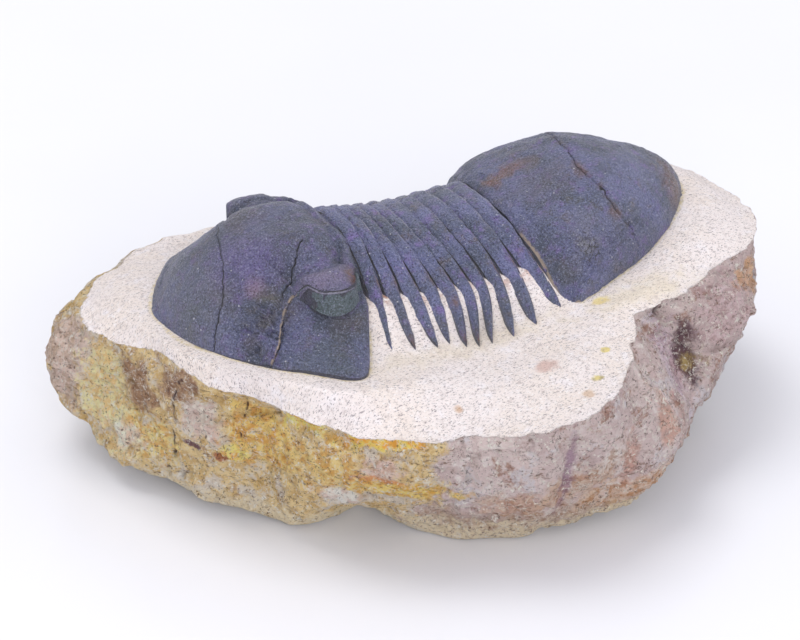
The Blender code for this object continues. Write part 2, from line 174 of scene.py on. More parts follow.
def from_route(points, route):
    """Distance from a broken line through the route's points, in as many coordinates as they have, and how far
    along it the nearest place is, counted in stretches."""
    best = np.full(points.shape[:-1], 1e3)
    along = np.zeros(points.shape[:-1])
    route = np.asarray(route, float)
    for number, (start, end) in enumerate(zip(route[:-1], route[1:])):
        step = end - start
        t = np.clip(((points - start) * step).sum(-1) / (step**2).sum(), 0, 1)
        distance = np.linalg.norm(points - start - t[..., None] * step, axis=-1)
        along = np.where(distance < best, number + t, along)
        best = np.minimum(best, distance)
    return best, along


# ---------------------------------------------------------------- the animal's plan and the stone's bed

MARGIN_RISE = 0.5
midline = curve((-36, 8.0), (-30, 7.6), (-20, 6.8), (-12, 6.1), (-6, 5.7), (0, 5.6), (60, 5.6))
bed_along = curve(
    (-40, 21.6), (-30, 23.2), (-16, 23.3), (-6, 22.7), (5, 22.3), (16, 23.4), (30, 25.0), (45, 27.2), (54, 26.6)
)
mound_along = curve((-12, 27.4), (-6, 27.0), (5, 26.3), (20, 26.6))
mound_across = curve((0, 1), (9, 1), (10.5, 0.93), (12, 0.77), (14, 0.46), (16.5, 0.12), (18.3, 0), (30, 0))
FAR_SINK, FAR_START, FAR_WIDTH = 0.011, 6.0, 24.0


def far_fall(w):
    """How much lower the far side lies: it grows with the square of the distance past FAR_START."""
    return FAR_SINK * np.clip(w - FAR_START, 0, FAR_WIDTH) ** 2


def bed(x, w):
    """Height of the stone under the animal: a gentle rise to the tail, and a mound that fills the thorax."""
    base = bed_along(x)
    length = smoothstep(-24.0, -9.0, x) * smoothstep(30.0, 16.0, x)
    return base + (mound_along(x) - base) * length * mound_across(np.abs(w)) - far_fall(w)


def placed(x, w, height):
    """Points of the animal, from the distance w to one side of its midline."""
    return np.stack([x, midline(x) + w, height - far_fall(w)], -1)


# ---------------------------------------------------------------- meshes


def normals_of(grid):
    """Unit normals of a grid of points: the cross product of its two slopes."""
    normal = np.cross(np.gradient(grid, axis=0), np.gradient(grid, axis=1))
    return normal / np.maximum(np.linalg.norm(normal, axis=-1, keepdims=True), 1e-9)


def grid_faces(rows, columns):
    """Two triangles for each cell of a grid of points, as index triples."""
    corner = np.arange(rows * columns).reshape(rows, columns)
    a, b = corner[:-1, :-1].ravel(), corner[1:, :-1].ravel()
    c, d = corner[1:, 1:].ravel(), corner[:-1, 1:].ravel()
    return np.concatenate([np.stack([a, b, c], -1), np.stack([a, c, d], -1)])


def underside_faces(rows, columns):
    """Closes a grid's border from below: fans on its first and last rows, and one strip from side to side
    between each two rows."""
    corner = np.arange(rows * columns).reshape(rows, columns)
    left, right = corner[:, 0], corner[:, -1]
    first, last = corner[0], corner[-1]
    strips = [
        np.stack([left[1:-2], right[1:-2], right[2:-1]], -1),
        np.stack([left[1:-2], right[2:-1], left[2:-1]], -1),
        np.stack([np.full(columns - 1, left[1]), first[:-1], first[1:]], -1),
        np.array([[left[1], right[0], right[1]]]),
        np.stack([np.full(columns - 1, left[-2]), last[1:], last[:-1]], -1),
        np.array([[left[-2], right[-2], right[-1]]]),
    ]
    return np.concatenate(strips)


MERGE = 0.004  # points that round to the same multiple of this become one
SHARP_ANGLE = 50.0  # degrees


def piece_from(name, points, faces, masks, material, node):
    """Makes a closed mesh the piece that stands for a node: near points are merged, flat faces dropped, the faces
    turned outwards by the sign of the volume, and the masks kept as attributes of its points."""
    flat = points.reshape(-1, 3)
    cells = np.round(flat / MERGE).astype(np.int64)
    _, first, index = np.unique(cells, axis=0, return_index=True, return_inverse=True)
    faces = index.reshape(-1)[faces]
    faces = faces[(faces != np.roll(faces, 1, axis=1)).all(axis=1)]
    place = (flat[first] + FRAME_ORIGIN) * MM
    if np.linalg.det(place[faces]).sum() < 0:
        faces = faces[:, ::-1]
    mesh = bpy.data.meshes.new(name)
    mesh.vertices.add(len(place))
    mesh.vertices.foreach_set("co", place.ravel())
    mesh.loops.add(faces.size)
    mesh.loops.foreach_set("vertex_index", faces.ravel().astype(np.int32))
    mesh.polygons.add(len(faces))
    mesh.polygons.foreach_set("loop_start", np.arange(0, faces.size, 3, dtype=np.int32))
    for mask, values in masks.items():
        attribute = mesh.attributes.new(mask, "FLOAT", "POINT")
        attribute.data.foreach_set("value", values.reshape(-1)[first].astype(np.float32))
    mesh.update(calc_edges=True)
    mesh.validate()
    mesh.shade_smooth()
    mesh.set_sharp_from_angle(angle=np.radians(SHARP_ANGLE))
    mesh.materials.append(material)
    piece = bpy.data.objects.new(name, mesh)
    bpy.context.scene.collection.objects.link(piece)
    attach(piece, BODY)
    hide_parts(node)
    print(f"{name}: {len(faces)} triangles")


SKIRT = (0.012, 0.08, 1.0)  # shares of the drop from a plate's edge into the stone
SINK = 0.6  # how far a plate's skirt reaches into the stone ...
LEAST_DROP = 0.3  # ... and at least this far below the plate


def with_skirt(values, tuck):
    """A row of parameters with steps past its two ends for the skirt, each drawn in by tuck, and how many steps
    out each one is."""
    steps = np.arange(1, len(SKIRT) + 1)
    first = values[0] + tuck * (steps[::-1] - 1)
    last = values[-1] - tuck * (steps - 1)
    out = np.concatenate([steps[::-1], np.zeros(len(values), int), steps])
    return np.concatenate([first, values, last]), out


def plate(name, rows, columns, surface, material, node, tuck=0.0):
    """A plate of the shell: surface(row, column) is its upper side, as points and a dictionary of masks, and a
    skirt drops from its border to just under the bed."""
    rows, row_out = with_skirt(np.asarray(rows, float), 0.0)
    columns, column_out = with_skirt(np.asarray(columns, float), tuck)
    row, column = np.meshgrid(rows, columns, indexing="ij")
    out = np.maximum(row_out[:, None], column_out[None, :])
    points, masks = surface(row, column)
    drop = np.array((0.0,) + SKIRT)[out]
    floor = bed(points[..., 0], points[..., 1] - midline(points[..., 0])) - SINK
    points[..., 2] = points[..., 2] * (1 - drop) + np.minimum(floor, points[..., 2] - LEAST_DROP) * drop
    masks = {mask: np.where(out > 0, 0.0, values) for mask, values in masks.items()}
    # the wall mask marks the skirt; the shell's material lays a dark colour over it as painted shade on the plates'
    # sides
    masks["wall"] = np.where(out > 0, 1.0, 0.0)
    faces = np.concatenate([grid_faces(*out.shape), underside_faces(*out.shape)])
    piece_from(name, points, faces, masks, material, node)


def raised(points, height):
    """A grid of points moved along its normals, which point up."""
    normal = normals_of(points)
    normal = normal * np.sign(normal[..., 2:] + 1e-9)
    return points + normal * height[..., None]


# ---------------------------------------------------------------- the stone

STONE_X, STONE_Y, STONE_Z = 8.0, 5.0, 12.0  # its middle
RIM_ROLL = 0.35  # how much the top swells between the bed and the rim

# Rings of the stone: (degrees about the centre, radius, height). 0 is +X, the tail end, and 270 is -Y.
APRON = (
    (0, 37.5), (15, 34), (30, 29), (45, 26), (60, 22), (75, 20.5), (90, 20), (105, 21.5), (120, 25.5),
    (135, 32), (145, 35.5), (160, 38), (180, 39), (195, 37), (210, 34), (222, 32.5), (235, 27), (250, 22.5),
    (265, 21.5), (280, 21), (300, 23.3), (315, 25.5), (330, 29), (345, 34),
)
RIM = (
    (0, 43.2, 25.0), (10, 42.4, 24.8), (22, 39.8, 24.4), (35, 35, 22.8), (50, 29.5, 20.4), (65, 24.6, 18.8),
    (80, 22.8, 18.4), (95, 24.6, 19.0), (110, 28.8, 20.2), (127, 34.5, 20.9), (137, 41.5, 20), (144, 43, 20),
    (151, 45.8, 20), (158, 46.6, 20), (164, 45.8, 19.8), (171, 42.6, 20), (177, 40.5, 20.5), (184, 39.3, 20.5),
    (192, 38.2, 20.2), (201, 35.8, 19.8), (212, 35.2, 19.6), (225, 35.5, 19), (238, 35.2, 18.6), (250, 35.2, 19.2),
    (260, 37.3, 20), (268, 38, 20.8), (277, 36.9, 21.6), (286, 33.6, 22.2), (296, 29.8, 22.8), (308, 28.6, 23.6),
    (316, 31.9, 24), (329, 36.5, 24.5), (339, 42, 25), (348, 43.6, 25),
)
SHOULDER = (
    (0, 45, 20), (22, 43.5, 19), (40, 39, 17), (60, 32, 15), (80, 29.5, 14), (100, 31, 15), (127, 38.5, 16),
    (144, 46, 16), (158, 49.8, 16), (171, 44.6, 15.5), (184, 40.4, 16), (200, 36.6, 15.5), (215, 36, 15),
    (235, 36, 14), (250, 36.2, 14), (264, 38.4, 15), (275, 38.4, 16), (284, 37.2, 16.4), (294, 36.6, 16),
    (303, 35.5, 15.5), (309, 33, 16.5), (315, 34.4, 19), (326, 39.5, 20), (338, 42.4, 21), (348, 44.2, 20.5),
)
BELLY = (
    (0, 44, 13), (25, 43, 12), (45, 40, 10), (65, 35, 9), (90, 32.5, 9), (115, 35, 9), (135, 41, 10),
    (150, 48.5, 10.5), (160, 50, 9), (171, 45, 9), (184, 39.6, 9), (200, 35.4, 8), (215, 34, 8), (228, 33, 8),
    (240, 33.5, 8), (255, 34.6, 8), (268, 36.6, 8.5), (275, 35.4, 8.5), (288, 37.2, 9), (300, 38.2, 10),
    (308, 36.6, 12), (316, 38.4, 14), (326, 41.2, 16), (336, 42.4, 16.5), (348, 43.4, 15),
)
FOOT = (
    (0, 36, 4), (30, 36, 3.5), (60, 31, 3), (90, 29, 3), (120, 31, 3), (140, 38, 3.5), (155, 44, 4.5),
    (163, 46, 4.6), (170, 44.2, 3.8), (180, 39.6, 2.6), (195, 34.2, 1.8), (207, 32.2, 1.2), (214, 30, 1.8),
    (220, 29, 3.2), (228, 28, 2.2), (238, 28.6, 1), (250, 29.2, 0.8), (262, 30.6, 0.8), (272, 31, 1.6),
    (281, 32.4, 2.2), (290, 34.5, 2.4), (297, 36, 4.4), (305, 35.5, 6), (315, 34, 6), (330, 35.5, 5), (345, 36, 4.5),
)
SOLE = (
    (0, 24), (40, 24), (70, 22), (100, 21), (130, 25), (155, 31), (175, 29), (195, 29), (207, 28), (219, 21),
    (228, 22), (238, 25.5), (250, 26), (262, 27), (272, 27), (285, 26), (300, 25), (320, 24), (340, 24),
)
BED_AT, RIM_AT, SOLE_AT, MIDDLE_AT = 3, 5, 9, 10  # the numbers of four of the rings of stone_rings

# Upright hollows in the flank: (degrees, half width in degrees, depth).
HOLLOWS = ((30, 9, 1.6), (72, 7, 1.4), (118, 8, 1.8), (171, 4, 0.7), (204, 3, 0.6), (241, 5, 0.8), (268, 3.5, 1.3))
LUMPS = ((5, 0.4, 0.45), (11, 1.9, 0.35), (19, 4.0, 0.25))  # (waves round the stone, phase, height)


def flank_relief(degrees, tier):
    """What the flank's radius gains from its lumps and loses in its hollows, at one of its tiers."""
    turn = np.radians(degrees)
    relief = sum(height * np.sin(waves * turn + phase + 1.7 * tier) for waves, phase, height in LUMPS)
    for at, half_width, depth in HOLLOWS:
        relief = relief - depth * bell(turned(degrees, at), half_width)
    return relief


def at_angle(table, column):
    return ring(*[(row[0], row[column]) for row in table])


def stone_rings(degrees, ragged):
    """The stone's rings at these angles, as (radius, height) rows: the bed, the rim, the flank and the sole. The
    rim's radius is broken up by noise, ragged millimetres high."""
    turn = np.radians(degrees)
    apron = ring(*APRON)(degrees)

    def on_bed(radius):
        x = STONE_X + radius * np.cos(turn)
        return radius, bed(x, STONE_Y + radius * np.sin(turn) - midline(x))

    rings = [on_bed(apron * (step / BED_AT)) for step in range(BED_AT + 1)]
    rim, rim_height = at_angle(RIM, 1)(degrees), at_angle(RIM, 2)(degrees)
    on_rim = np.stack([rim * np.cos(turn), rim * np.sin(turn), rim_height], -1)
    rings.append(((rings[BED_AT][0] + rim) / 2, (rings[BED_AT][1] + rim_height) / 2 + RIM_ROLL))
    rings.append((rim + ragged * rough(on_rim, 3.2, 5, 3, 0.6), rim_height))
    for tier, table in enumerate((SHOULDER, BELLY, FOOT)):
        radius = at_angle(table, 1)(degrees) + flank_relief(degrees, tier)
        rings.append((radius, at_angle(table, 2)(degrees)))
    rings.append((ring(*SOLE)(degrees), np.zeros_like(degrees)))
    rings.append((np.zeros_like(degrees), np.zeros_like(degrees)))
    return np.array(rings)


def through(knots, values, place):
    """Smooth lines through rows of values, one row a knot, read at these places for every column at once."""
    knots = np.asarray(knots, float)
    slope = np.gradient(values, knots, axis=0)
    i = np.clip(np.searchsorted(knots, place) - 1, 0, len(knots) - 2)
    span = (knots[i + 1] - knots[i])[:, None]
    return cubic(values, slope, i, (place - knots[i])[:, None] / span, span)


FLANK_CRACKS = (  # routes down the flank, each with its half width and depth
    (((-31.6, -0.6, 20.6), (-31.3, 0.9, 17.3), (-31.2, 1.5, 11.8), (-31.0, 3.0, 4.2)), 0.16, 0.5),
    (((-25.4, -6.4, 24.0), (-25.8, -7.3, 22.4), (-26.1, -7.4, 13.8)), 0.12, 0.4),
)
NOTCH = ((26.2, -16.6, 24.9), (26.8, -17.5, 24.2), (28.3, -18.9, 21.6), (30.8, -20.6, 18.0), (31.9, -22.6, 15.1))
NOTCH_DEPTH, NOTCH_HALF_WIDTH = 1.7, 0.9
FLANK_GROOVE = ((4.4, -32.4, 21.5), (4.7, -32.6, 18.9), (6.2, -31.0, 12.0), (7.8, -28.2, 5.2))
# How much higher the fine stone stands between the blades, at a distance from the midline.
between_blades = curve((8, 0), (10, 0.6), (11.5, 1.1), (13.5, 1.0), (15.5, 0.5), (17, 0.15), (18.5, 0), (22, 0))
FLANK_RADIUS = 36.0
# Where the flank's colours come in over the rim: (degrees, spread in degrees, how far).
BARE_RIM = ((185.0, 9.0, 1.3), (150.0, 11.0, 1.1))
DEEPEST, HIGHEST = -2.5, 1.4  # the stone's skin moves no further in and out than this


def unrolled(points):
    """A place on the flank as (distance round the stone, height)."""
    turn = np.arctan2(points[..., 1] - STONE_Y, points[..., 0] - STONE_X) % (2 * np.pi)
    return np.stack([FLANK_RADIUS * turn, points[..., 2]], -1)


def broken_flank(points, border, lumps, chip_height):
    """The flank's unevenness along its normals: lumps, large and small facets, a groove, a notch, pits and cracks.
    Also the mask of its dark splits and of the painted shade in the notch."""
    x, y, height = np.moveaxis(points, -1, 0)
    facet, facet_edge = chips(points * (1, 1, 1.5), 6.5, 31)
    small, small_edge = chips(points * (1, 1, 1.4), 2.4, 57)
    calm = smoothstep(-6, 2, x) * smoothstep(-16, -24, y)
    relief = lumps * rough(points, 13, 11, 2) + chip_height * (1 - 0.55 * calm) * facet
    relief = relief + 0.45 * chip_height * (1 - 0.5 * calm) * small - 0.06 * bell(small_edge, 0.08) - 0.2
    relief = relief - 0.1 * bell(facet_edge, 0.07) + 0.24 * rough(points, 1.2, 71, 3, 0.65)
    relief = relief - 0.35 * bell(from_route(points, FLANK_GROOVE)[0], 0.9)
    in_notch = from_route(points + 0.4 * rough(points, 2.0, 5, 2)[..., None], NOTCH)[0]
    relief = relief - NOTCH_DEPTH * bell(in_notch, NOTCH_HALF_WIDTH)
    relief = relief - 0.22 * smoothstep(0.45, 0.8, noise(points, 1.7, 91))
    under_rim = smoothstep(-0.8, 0.1, border)
    # dark in the notch hollow: partly its reddish-brown stone, partly painted shade in the recess
    split_and_notch_shade = 0.85 * bell(in_notch, 0.7) * smoothstep(-0.5, 0.1, noise(points, 1.1, 7)) * under_rim
    place = unrolled(points) + 0.5 * np.stack([rough(points, 2.2, 3, 3, 0.6), 0 * height], -1)
    for route, half_width, depth in FLANK_CRACKS:
        distance, _ = from_route(place, unrolled(np.array(route)))
        split_and_notch_shade = np.maximum(split_and_notch_shade, bell(distance, half_width) * under_rim)
        relief = relief - depth * bell(distance, half_width)
    return relief, split_and_notch_shade


def share_of_way(stations, first, last):
    """How far each row lies on its way from one ring to another, from 0 to 1, as a column."""
    return np.clip((stations - first) / (last - first), 0, 1)[:, None]


def stone_surface(stations, degrees, lumps, chip_height, ragged):
    """The stone's skin. Its rings are joined by smooth lines with a corner at the rim. The flank is broken into
    facets, lumps and pits along its normals, and cracks run down it; the prepared top is only a little uneven."""
    rings = stone_rings(degrees, ragged)
    turn = np.radians(degrees)[None, :]
    on_top = (stations <= RIM_AT)[:, None]
    to_rim = share_of_way(stations, BED_AT, RIM_AT)
    to_middle = share_of_way(stations, SOLE_AT, MIDDLE_AT)

    def skin(ring_at):
        top = ring_at[BED_AT] * share_of_way(stations, 0, BED_AT)
        top = top + (ring_at[RIM_AT] - ring_at[BED_AT]) * to_rim
        flank = through(range(RIM_AT, SOLE_AT + 1), ring_at[RIM_AT : SOLE_AT + 1], stations)
        sole = ring_at[SOLE_AT] * (1 - to_middle) + ring_at[MIDDLE_AT] * to_middle
        return np.where(on_top, top, np.where((stations <= SOLE_AT)[:, None], flank, sole))

    radius, height = skin(rings[:, 0]), skin(rings[:, 1])
    x = STONE_X + radius * np.cos(turn)
    y = STONE_Y + radius * np.sin(turn)
    across = y - midline(x)
    packed = between_blades(np.abs(across)) * smoothstep(-10.5, -7.5, x) * smoothstep(19.5, 17.0, x)
    rim_x, rim_y = STONE_X + rings[RIM_AT, 0] * np.cos(turn), STONE_Y + rings[RIM_AT, 0] * np.sin(turn)
    lift = rings[RIM_AT, 1] - bed(rim_x, rim_y - midline(rim_x))
    on_bed = bed(x, across) + packed + lift * smoothstep(0, 1, to_rim) + RIM_ROLL * np.sin(np.pi * to_rim) ** 2
    points = np.stack([x, y, np.where(on_top, on_bed, height)], -1)
    step = np.linalg.norm(np.diff(points, axis=0), axis=-1)
    run = np.concatenate([np.zeros((1, len(degrees))), np.cumsum(step, axis=0)])
    border = run - run[np.searchsorted(stations, RIM_AT)]
    flank = smoothstep(-0.2, 1.2, border) * smoothstep(0.15, 2.2, points[..., 2])
    relief, split_and_notch_shade = broken_flank(points, border, lumps, chip_height)
    top = (1 - smoothstep(-1.5, 0, border)) * (stations < SOLE_AT)[:, None]
    uneven = 0.10 * rough(points, 9, 21, 2) + 0.035 * rough(points, 0.9, 23, 2, 0.7)
    outwards = normals_of(points)
    from_middle = points - np.array([STONE_X, STONE_Y, STONE_Z])
    outwards = outwards * np.sign((outwards * from_middle).sum(-1, keepdims=True) + 1e-9)
    outwards = np.where(top[..., None] > 0.5, np.array([0.0, 0.0, 1.0]), outwards)
    away = np.clip(flank * relief + top * uneven, DEEPEST, HIGHEST) * (radius > 1e-6)
    points = points + outwards * away[..., None]
    points[..., 2] = np.maximum(points[..., 2], 0)
    for at, spread, reach in BARE_RIM:
        border = border + reach * bell(turned(degrees, at), spread)
    gap_line = np.interp(x, (-7.0, -5.0, 4.5, 11.0, 16.6), (9.9, 10.5, 11.2, 11.7, 11.3))
    base = bell(np.abs(across) - gap_line - 0.4, 0.65) * smoothstep(-9, -7, x) * smoothstep(18.0, 16.8, x)
    return points, {"border": border, "split_and_notch_shade": split_and_notch_shade, "base": base, "margin": margin_distance(points, stations)}


FAR_OFF = 30.0  # the distance given where it isn't worked out


def margin_distance(points, stations):
    """Distance over the top of the stone to the outline of the head, and of the tail, whichever is nearer."""
    head_x, head_w = cheek_edge(np.linspace(0, 1, 14))
    front_w = np.linspace(0, SUTURE_FRONT[0][1], 9)
    half = np.concatenate([np.stack([head_front_x(front_w), front_w], -1), np.stack([head_x, head_w], -1)])
    tail = np.stack(tail_edge(np.linspace(0, 1, 16)), -1)
    near = stations <= RIM_AT + 0.2
    x, y, _ = np.moveaxis(points[near], -1, 0)
    plan = np.stack([x, np.abs(y - midline(x))], -1)
    result = np.full(points.shape[:-1], FAR_OFF)
    result[near] = np.minimum(from_route(plan, half)[0], from_route(plan, tail)[0])
    return result


# ---------------------------------------------------------------- the head

HEAD_FRONT_X = -29.05
HEAD_HALF_WIDTH = 21.2
HEAD_BLUNTNESS = 0.0292  # of the parabola of its front edge, 1/mm
SNOUT = 0.6  # how far the front edge comes forward of the parabola ...
SNOUT_W = 4.0  # ... here, and over this half width
FAR_CUT = 1.0  # how much lower the far side of the head's front is
EYE_X = -12.3
EYE_W = 10.75
EYE_RADIUS = 3.25
LID_BLEND_OUT = 1.2  # the lid fades into the dome from this far outside the drum's radius ...
LID_BLEND_IN = -0.1  # ... to this far inside it
WALL_OUT = 0.35  # how far the foot of the eye's wall stands out from its rim
FAR_LID_RISE = 0.6  # the far eye stands a little higher than the near one
SEAM = 0.05  # half the width of the suture
head_back_x = curve((0, -7.0), (6, -7.3), (10.4, -7.85))
head_crest = curve(
    (-29.5, 23.7), (-28.6, 25.2), (-27.6, 27.2), (-25.5, 29.8), (-22, 32.6), (-16, 34.8), (-11, 34.9), (-6.5, 33.4)
)
front_fall = curve((0, 1), (0.3, 0.94), (0.55, 0.76), (0.75, 0.50), (0.9, 0.24), (1, 0))
back_fall = curve((0, 1), (0.26, 0.96), (0.37, 0.80), (0.49, 0.52), (0.62, 0.36), (0.8, 0.15), (1, 0))
lid_height = curve((3, 34.6), (6, 33.6), (8, 32.8), (10.5, 32.0), (13.2, 31.3))


def head_front_x(w):
    """The front edge of the head seen from above: a blunt parabola with a low snout."""
    return HEAD_FRONT_X + HEAD_BLUNTNESS * w**2 - SNOUT * bell(w - SNOUT_W, SNOUT_W)


def head_half_width(x):
    return np.clip(np.sqrt(np.clip(x - HEAD_FRONT_X, 1e-6, None) / HEAD_BLUNTNESS), 0, HEAD_HALF_WIDTH)


def behind_front(x, w):
    """Distance in from the head's front edge."""
    return (x - head_front_x(w)) / np.sqrt(1 + (2 * HEAD_BLUNTNESS * w) ** 2)


def beside_eye(x):
    """1 beside the eye's lid, 0 before and behind it."""
    return smoothstep(EYE_RADIUS + 0.6, EYE_RADIUS - 0.2, np.abs(x - EYE_X))


def head_dome(x, w):
    """Height of the head without its eyes: a dome in front, and behind it a ridge that falls to flat cheeks."""
    edge = bed_along(x) + MARGIN_RISE
    out = np.clip(np.abs(w) / head_half_width(x), 0, 1)
    behind = smoothstep(-25, -15.5, x)
    fall = front_fall(out) * (1 - behind) + back_fall(out) * behind
    cut = FAR_CUT * smoothstep(1, 9, w) * smoothstep(-16.5, -22, x) * smoothstep(1, 0.7, out)
    return edge + (head_crest(x) - edge) * fall - cut


def head_top(x, w):
    """Height of the middle plate of the head: the dome, with a lid that runs out level over each eye."""
    dome = head_dome(x, w)
    lid = lid_height(np.abs(w)) + FAR_LID_RISE * smoothstep(0, 8, w)
    on_lid = smoothstep(EYE_RADIUS + LID_BLEND_OUT, EYE_RADIUS - LID_BLEND_IN, np.abs(x - EYE_X - 0.3))
    return dome + np.maximum(lid - dome, 0) * on_lid


# The facial suture on one side, from the front edge to the back: it runs round the eye on the way.
SUTURE_FRONT = ((-22.1, 15.4), (-21.3, 15.1), (-20.6, 14.6), (-20, 13.7), (-19, 12.3), (-17.8, 10.9), (-16.4, 10.0))
SUTURE_BACK = (-7.85, 10.4)


def suture(place):
    """(x, w) of the suture at places from 0 at the front edge to 1 at the back."""
    turns = np.radians(np.linspace(-72, 84, 9))
    round_eye = np.stack([EYE_X + EYE_RADIUS * np.sin(turns), EYE_W + EYE_RADIUS * np.cos(turns)], -1)
    return by_length(*np.concatenate([SUTURE_FRONT, round_eye, [SUTURE_BACK]]).T, place)


def cheek_edge(place):
    """(x, w) of a free cheek's outer edge, from the suture's front end round the genal corner to its back end."""
    start_x, start_w = SUTURE_FRONT[0]
    x = (start_x, -20.8, -18.8, -17.0, -15.6, -14.3, -13.2, -12.3, -11.4, -10.3, -9.3, -8.5, -8.05, SUTURE_BACK[0])
    w = (start_w, 16.6, 18.1, 19.5, 20.5, 21.1, 21.2, 20.8, 19.6, 17.5, 15.4, 13.6, 12.0, SUTURE_BACK[1])
    return by_length(x, w, place)


HEAD_CRACKS = (  # routes over the head seen from above, each with its half width, depth and strength on its way
    (
        (
            (-19.5, 12.6), (-19.9, 11.3), (-22.1, 5.2), (-22.7, 3.0),
            (-24.5, 0.1), (-26.2, -1.3), (-27.5, -1.8), (-28.2, -1.9),
        ),
        0.10, 0.26, curve((0, 0.55), (3, 0.75), (5, 1.0), (7, 1.0)),
    ),
    (
        (
            (-13.2, 0.6), (-16.2, -1.9), (-17.9, -3.3), (-19.4, -4.7),
            (-20.7, -6.0), (-22.2, -7.3), (-23.2, -7.6), (-24.2, -8.0),
        ),
        0.075, 0.3, curve((0, 1.0), (1.6, 1.0), (2.6, 0.55), (5, 0.5), (7, 0.35)),
    ),
)


def shell_relief(points, size, seed):
    """The shell's own unevenness: low swellings, and a fine grain over them."""
    return size * rough(points, 7.0, seed, 2) + 0.08 * rough(points, 1.7, seed + 3, 4, 0.6)


def head_relief(points, swell):
    """Unevenness of the head, its two cracks, the wrinkles near its front corner and the fine lines that run along
    its margin. Also the mask of its cracks, with painted shade in the wrinkles' creases."""
    plan = points[..., :2]
    wander = 0.2 * np.stack([rough(points, 1.5, 41, 3, 0.6), rough(points, 1.5, 48, 3, 0.6)], -1)
    relief = shell_relief(points, swell, 40)
    crack_and_shade = np.zeros_like(relief)
    for route, half_width, depth, boldness in HEAD_CRACKS:
        distance, along = from_route(plan + wander, route)
        strength = boldness(along)
        crack_and_shade = np.maximum(crack_and_shade, bell(distance, half_width) * strength)
        relief = relief - depth * bell(distance, half_width * 1.3) * strength + 0.05 * bell(distance, 0.6)
    x, y, z = np.moveaxis(points, -1, 0)
    w = y - midline(x)
    wrinkled = bell(np.hypot((x + 21.6) / 3.6, (y + 5.6) / 3.4), 1.0)
    slant = np.stack([0.86 * x + 0.5 * y, 0.4 * (0.5 * x - 0.86 * y), 0.3 * z], -1)
    crease = np.abs(rough(slant, 0.62, 44, 3, 0.6))
    relief = relief - wrinkled * 0.75 * crease
    # painted shade: the deepest creases of the wrinkles are darkened through the crack mask
    crack_and_shade = np.maximum(crack_and_shade, 0.34 * smoothstep(0.2, 0.7, wrinkled) * smoothstep(0.5, 0.8, crease))
    inward = behind_front(x, w)
    lined = smoothstep(0.2, 0.8, inward) * smoothstep(5.0, 2.0, inward)
    relief = relief + lined * 0.035 * np.sin(inward * 9 + 2.2 * noise(points, 2.5, 46))
    return relief, crack_and_shade


def rounded_edge(distance, depth, width):
    """How much a plate's top falls towards its edge, at a distance from it."""
    return -depth * np.clip(1 - distance / width, 0, 1) ** 2


def cranidium_surface(back, side, swell):
    """The middle plate of the head: back runs 0 to 1 from front to rear, side -1 to 1 from suture to suture. Its
    lids overhang the eyes a little, with a rounded lip."""
    x, w = suture(back)
    over = beside_eye(x) * (w > 9)
    w = w - SEAM + 0.22 * over
    first_x, first_w = SUTURE_FRONT[0]
    front = head_front_x(side * first_w) - head_front_x(first_w)
    rear = head_back_x(np.abs(side) * SUTURE_BACK[1]) - SUTURE_BACK[0]
    from_edge = (1 - np.abs(side)) * w
    x = x + front * (1 - back) + rear * back
    w = w * side
    height = head_top(x, w) + rounded_edge(from_edge, 0.12, 0.3)
    pillow = 1 - np.hypot(x - EYE_X, np.abs(w) - EYE_W) ** 2 / (EYE_RADIUS + 0.1) ** 2
    height = height + over * (0.8 * np.clip(pillow, 0, 1) ** 0.7 - 0.75 * bell(from_edge - 4.6, 1.0))
    height = height - 0.5 * bell(x - EYE_X + EYE_RADIUS + 0.5, 0.6) * smoothstep(6.5, 8.5, np.abs(w))
    inward = behind_front(x, w)
    height = height + rounded_edge(np.maximum(inward, 0), 0.5, 0.7) * (back < 0.5)
    to_rear = head_back_x(np.abs(w)) - x
    height = height + rounded_edge(np.maximum(to_rear, 0), 0.35, 0.5) - 0.3 * bell(to_rear - 1.9, 0.55)
    points = placed(x, w, height)
    relief, crack_and_shade = head_relief(points, swell)
    seam = bell(from_edge, 0.16) * (1 - over)
    rust = np.clip(1.4 * bell(np.hypot(x + 9.5, (np.abs(w) - 11.8) / 1.5), 1.0), 0, 1) * (w < 0)
    # the near lid's top gets a lighter pinkish violet: partly its own tone, partly painted light on its upward face
    lid = over * smoothstep(4.4, 3.0, from_edge) * (w < 0)
    # painted highlight: a pale line along the lid's rounded rim
    edge_highlight = 0.9 * over * bell(from_edge - 0.12, 0.13)
    return raised(points, relief), {"crack_and_shade": crack_and_shade, "seam": seam, "rust": rust, "edge_highlight": edge_highlight, "lid": lid}


# How much higher than the dome the cheek stands at the foot of the eye's wall.
eye_step = curve((-16.2, 0.4), (-15, 0.7), (-14, 1.0), (-12.3, 1.4), (-10.5, 1.7), (-9, 1.3), (-8.4, 0.8))


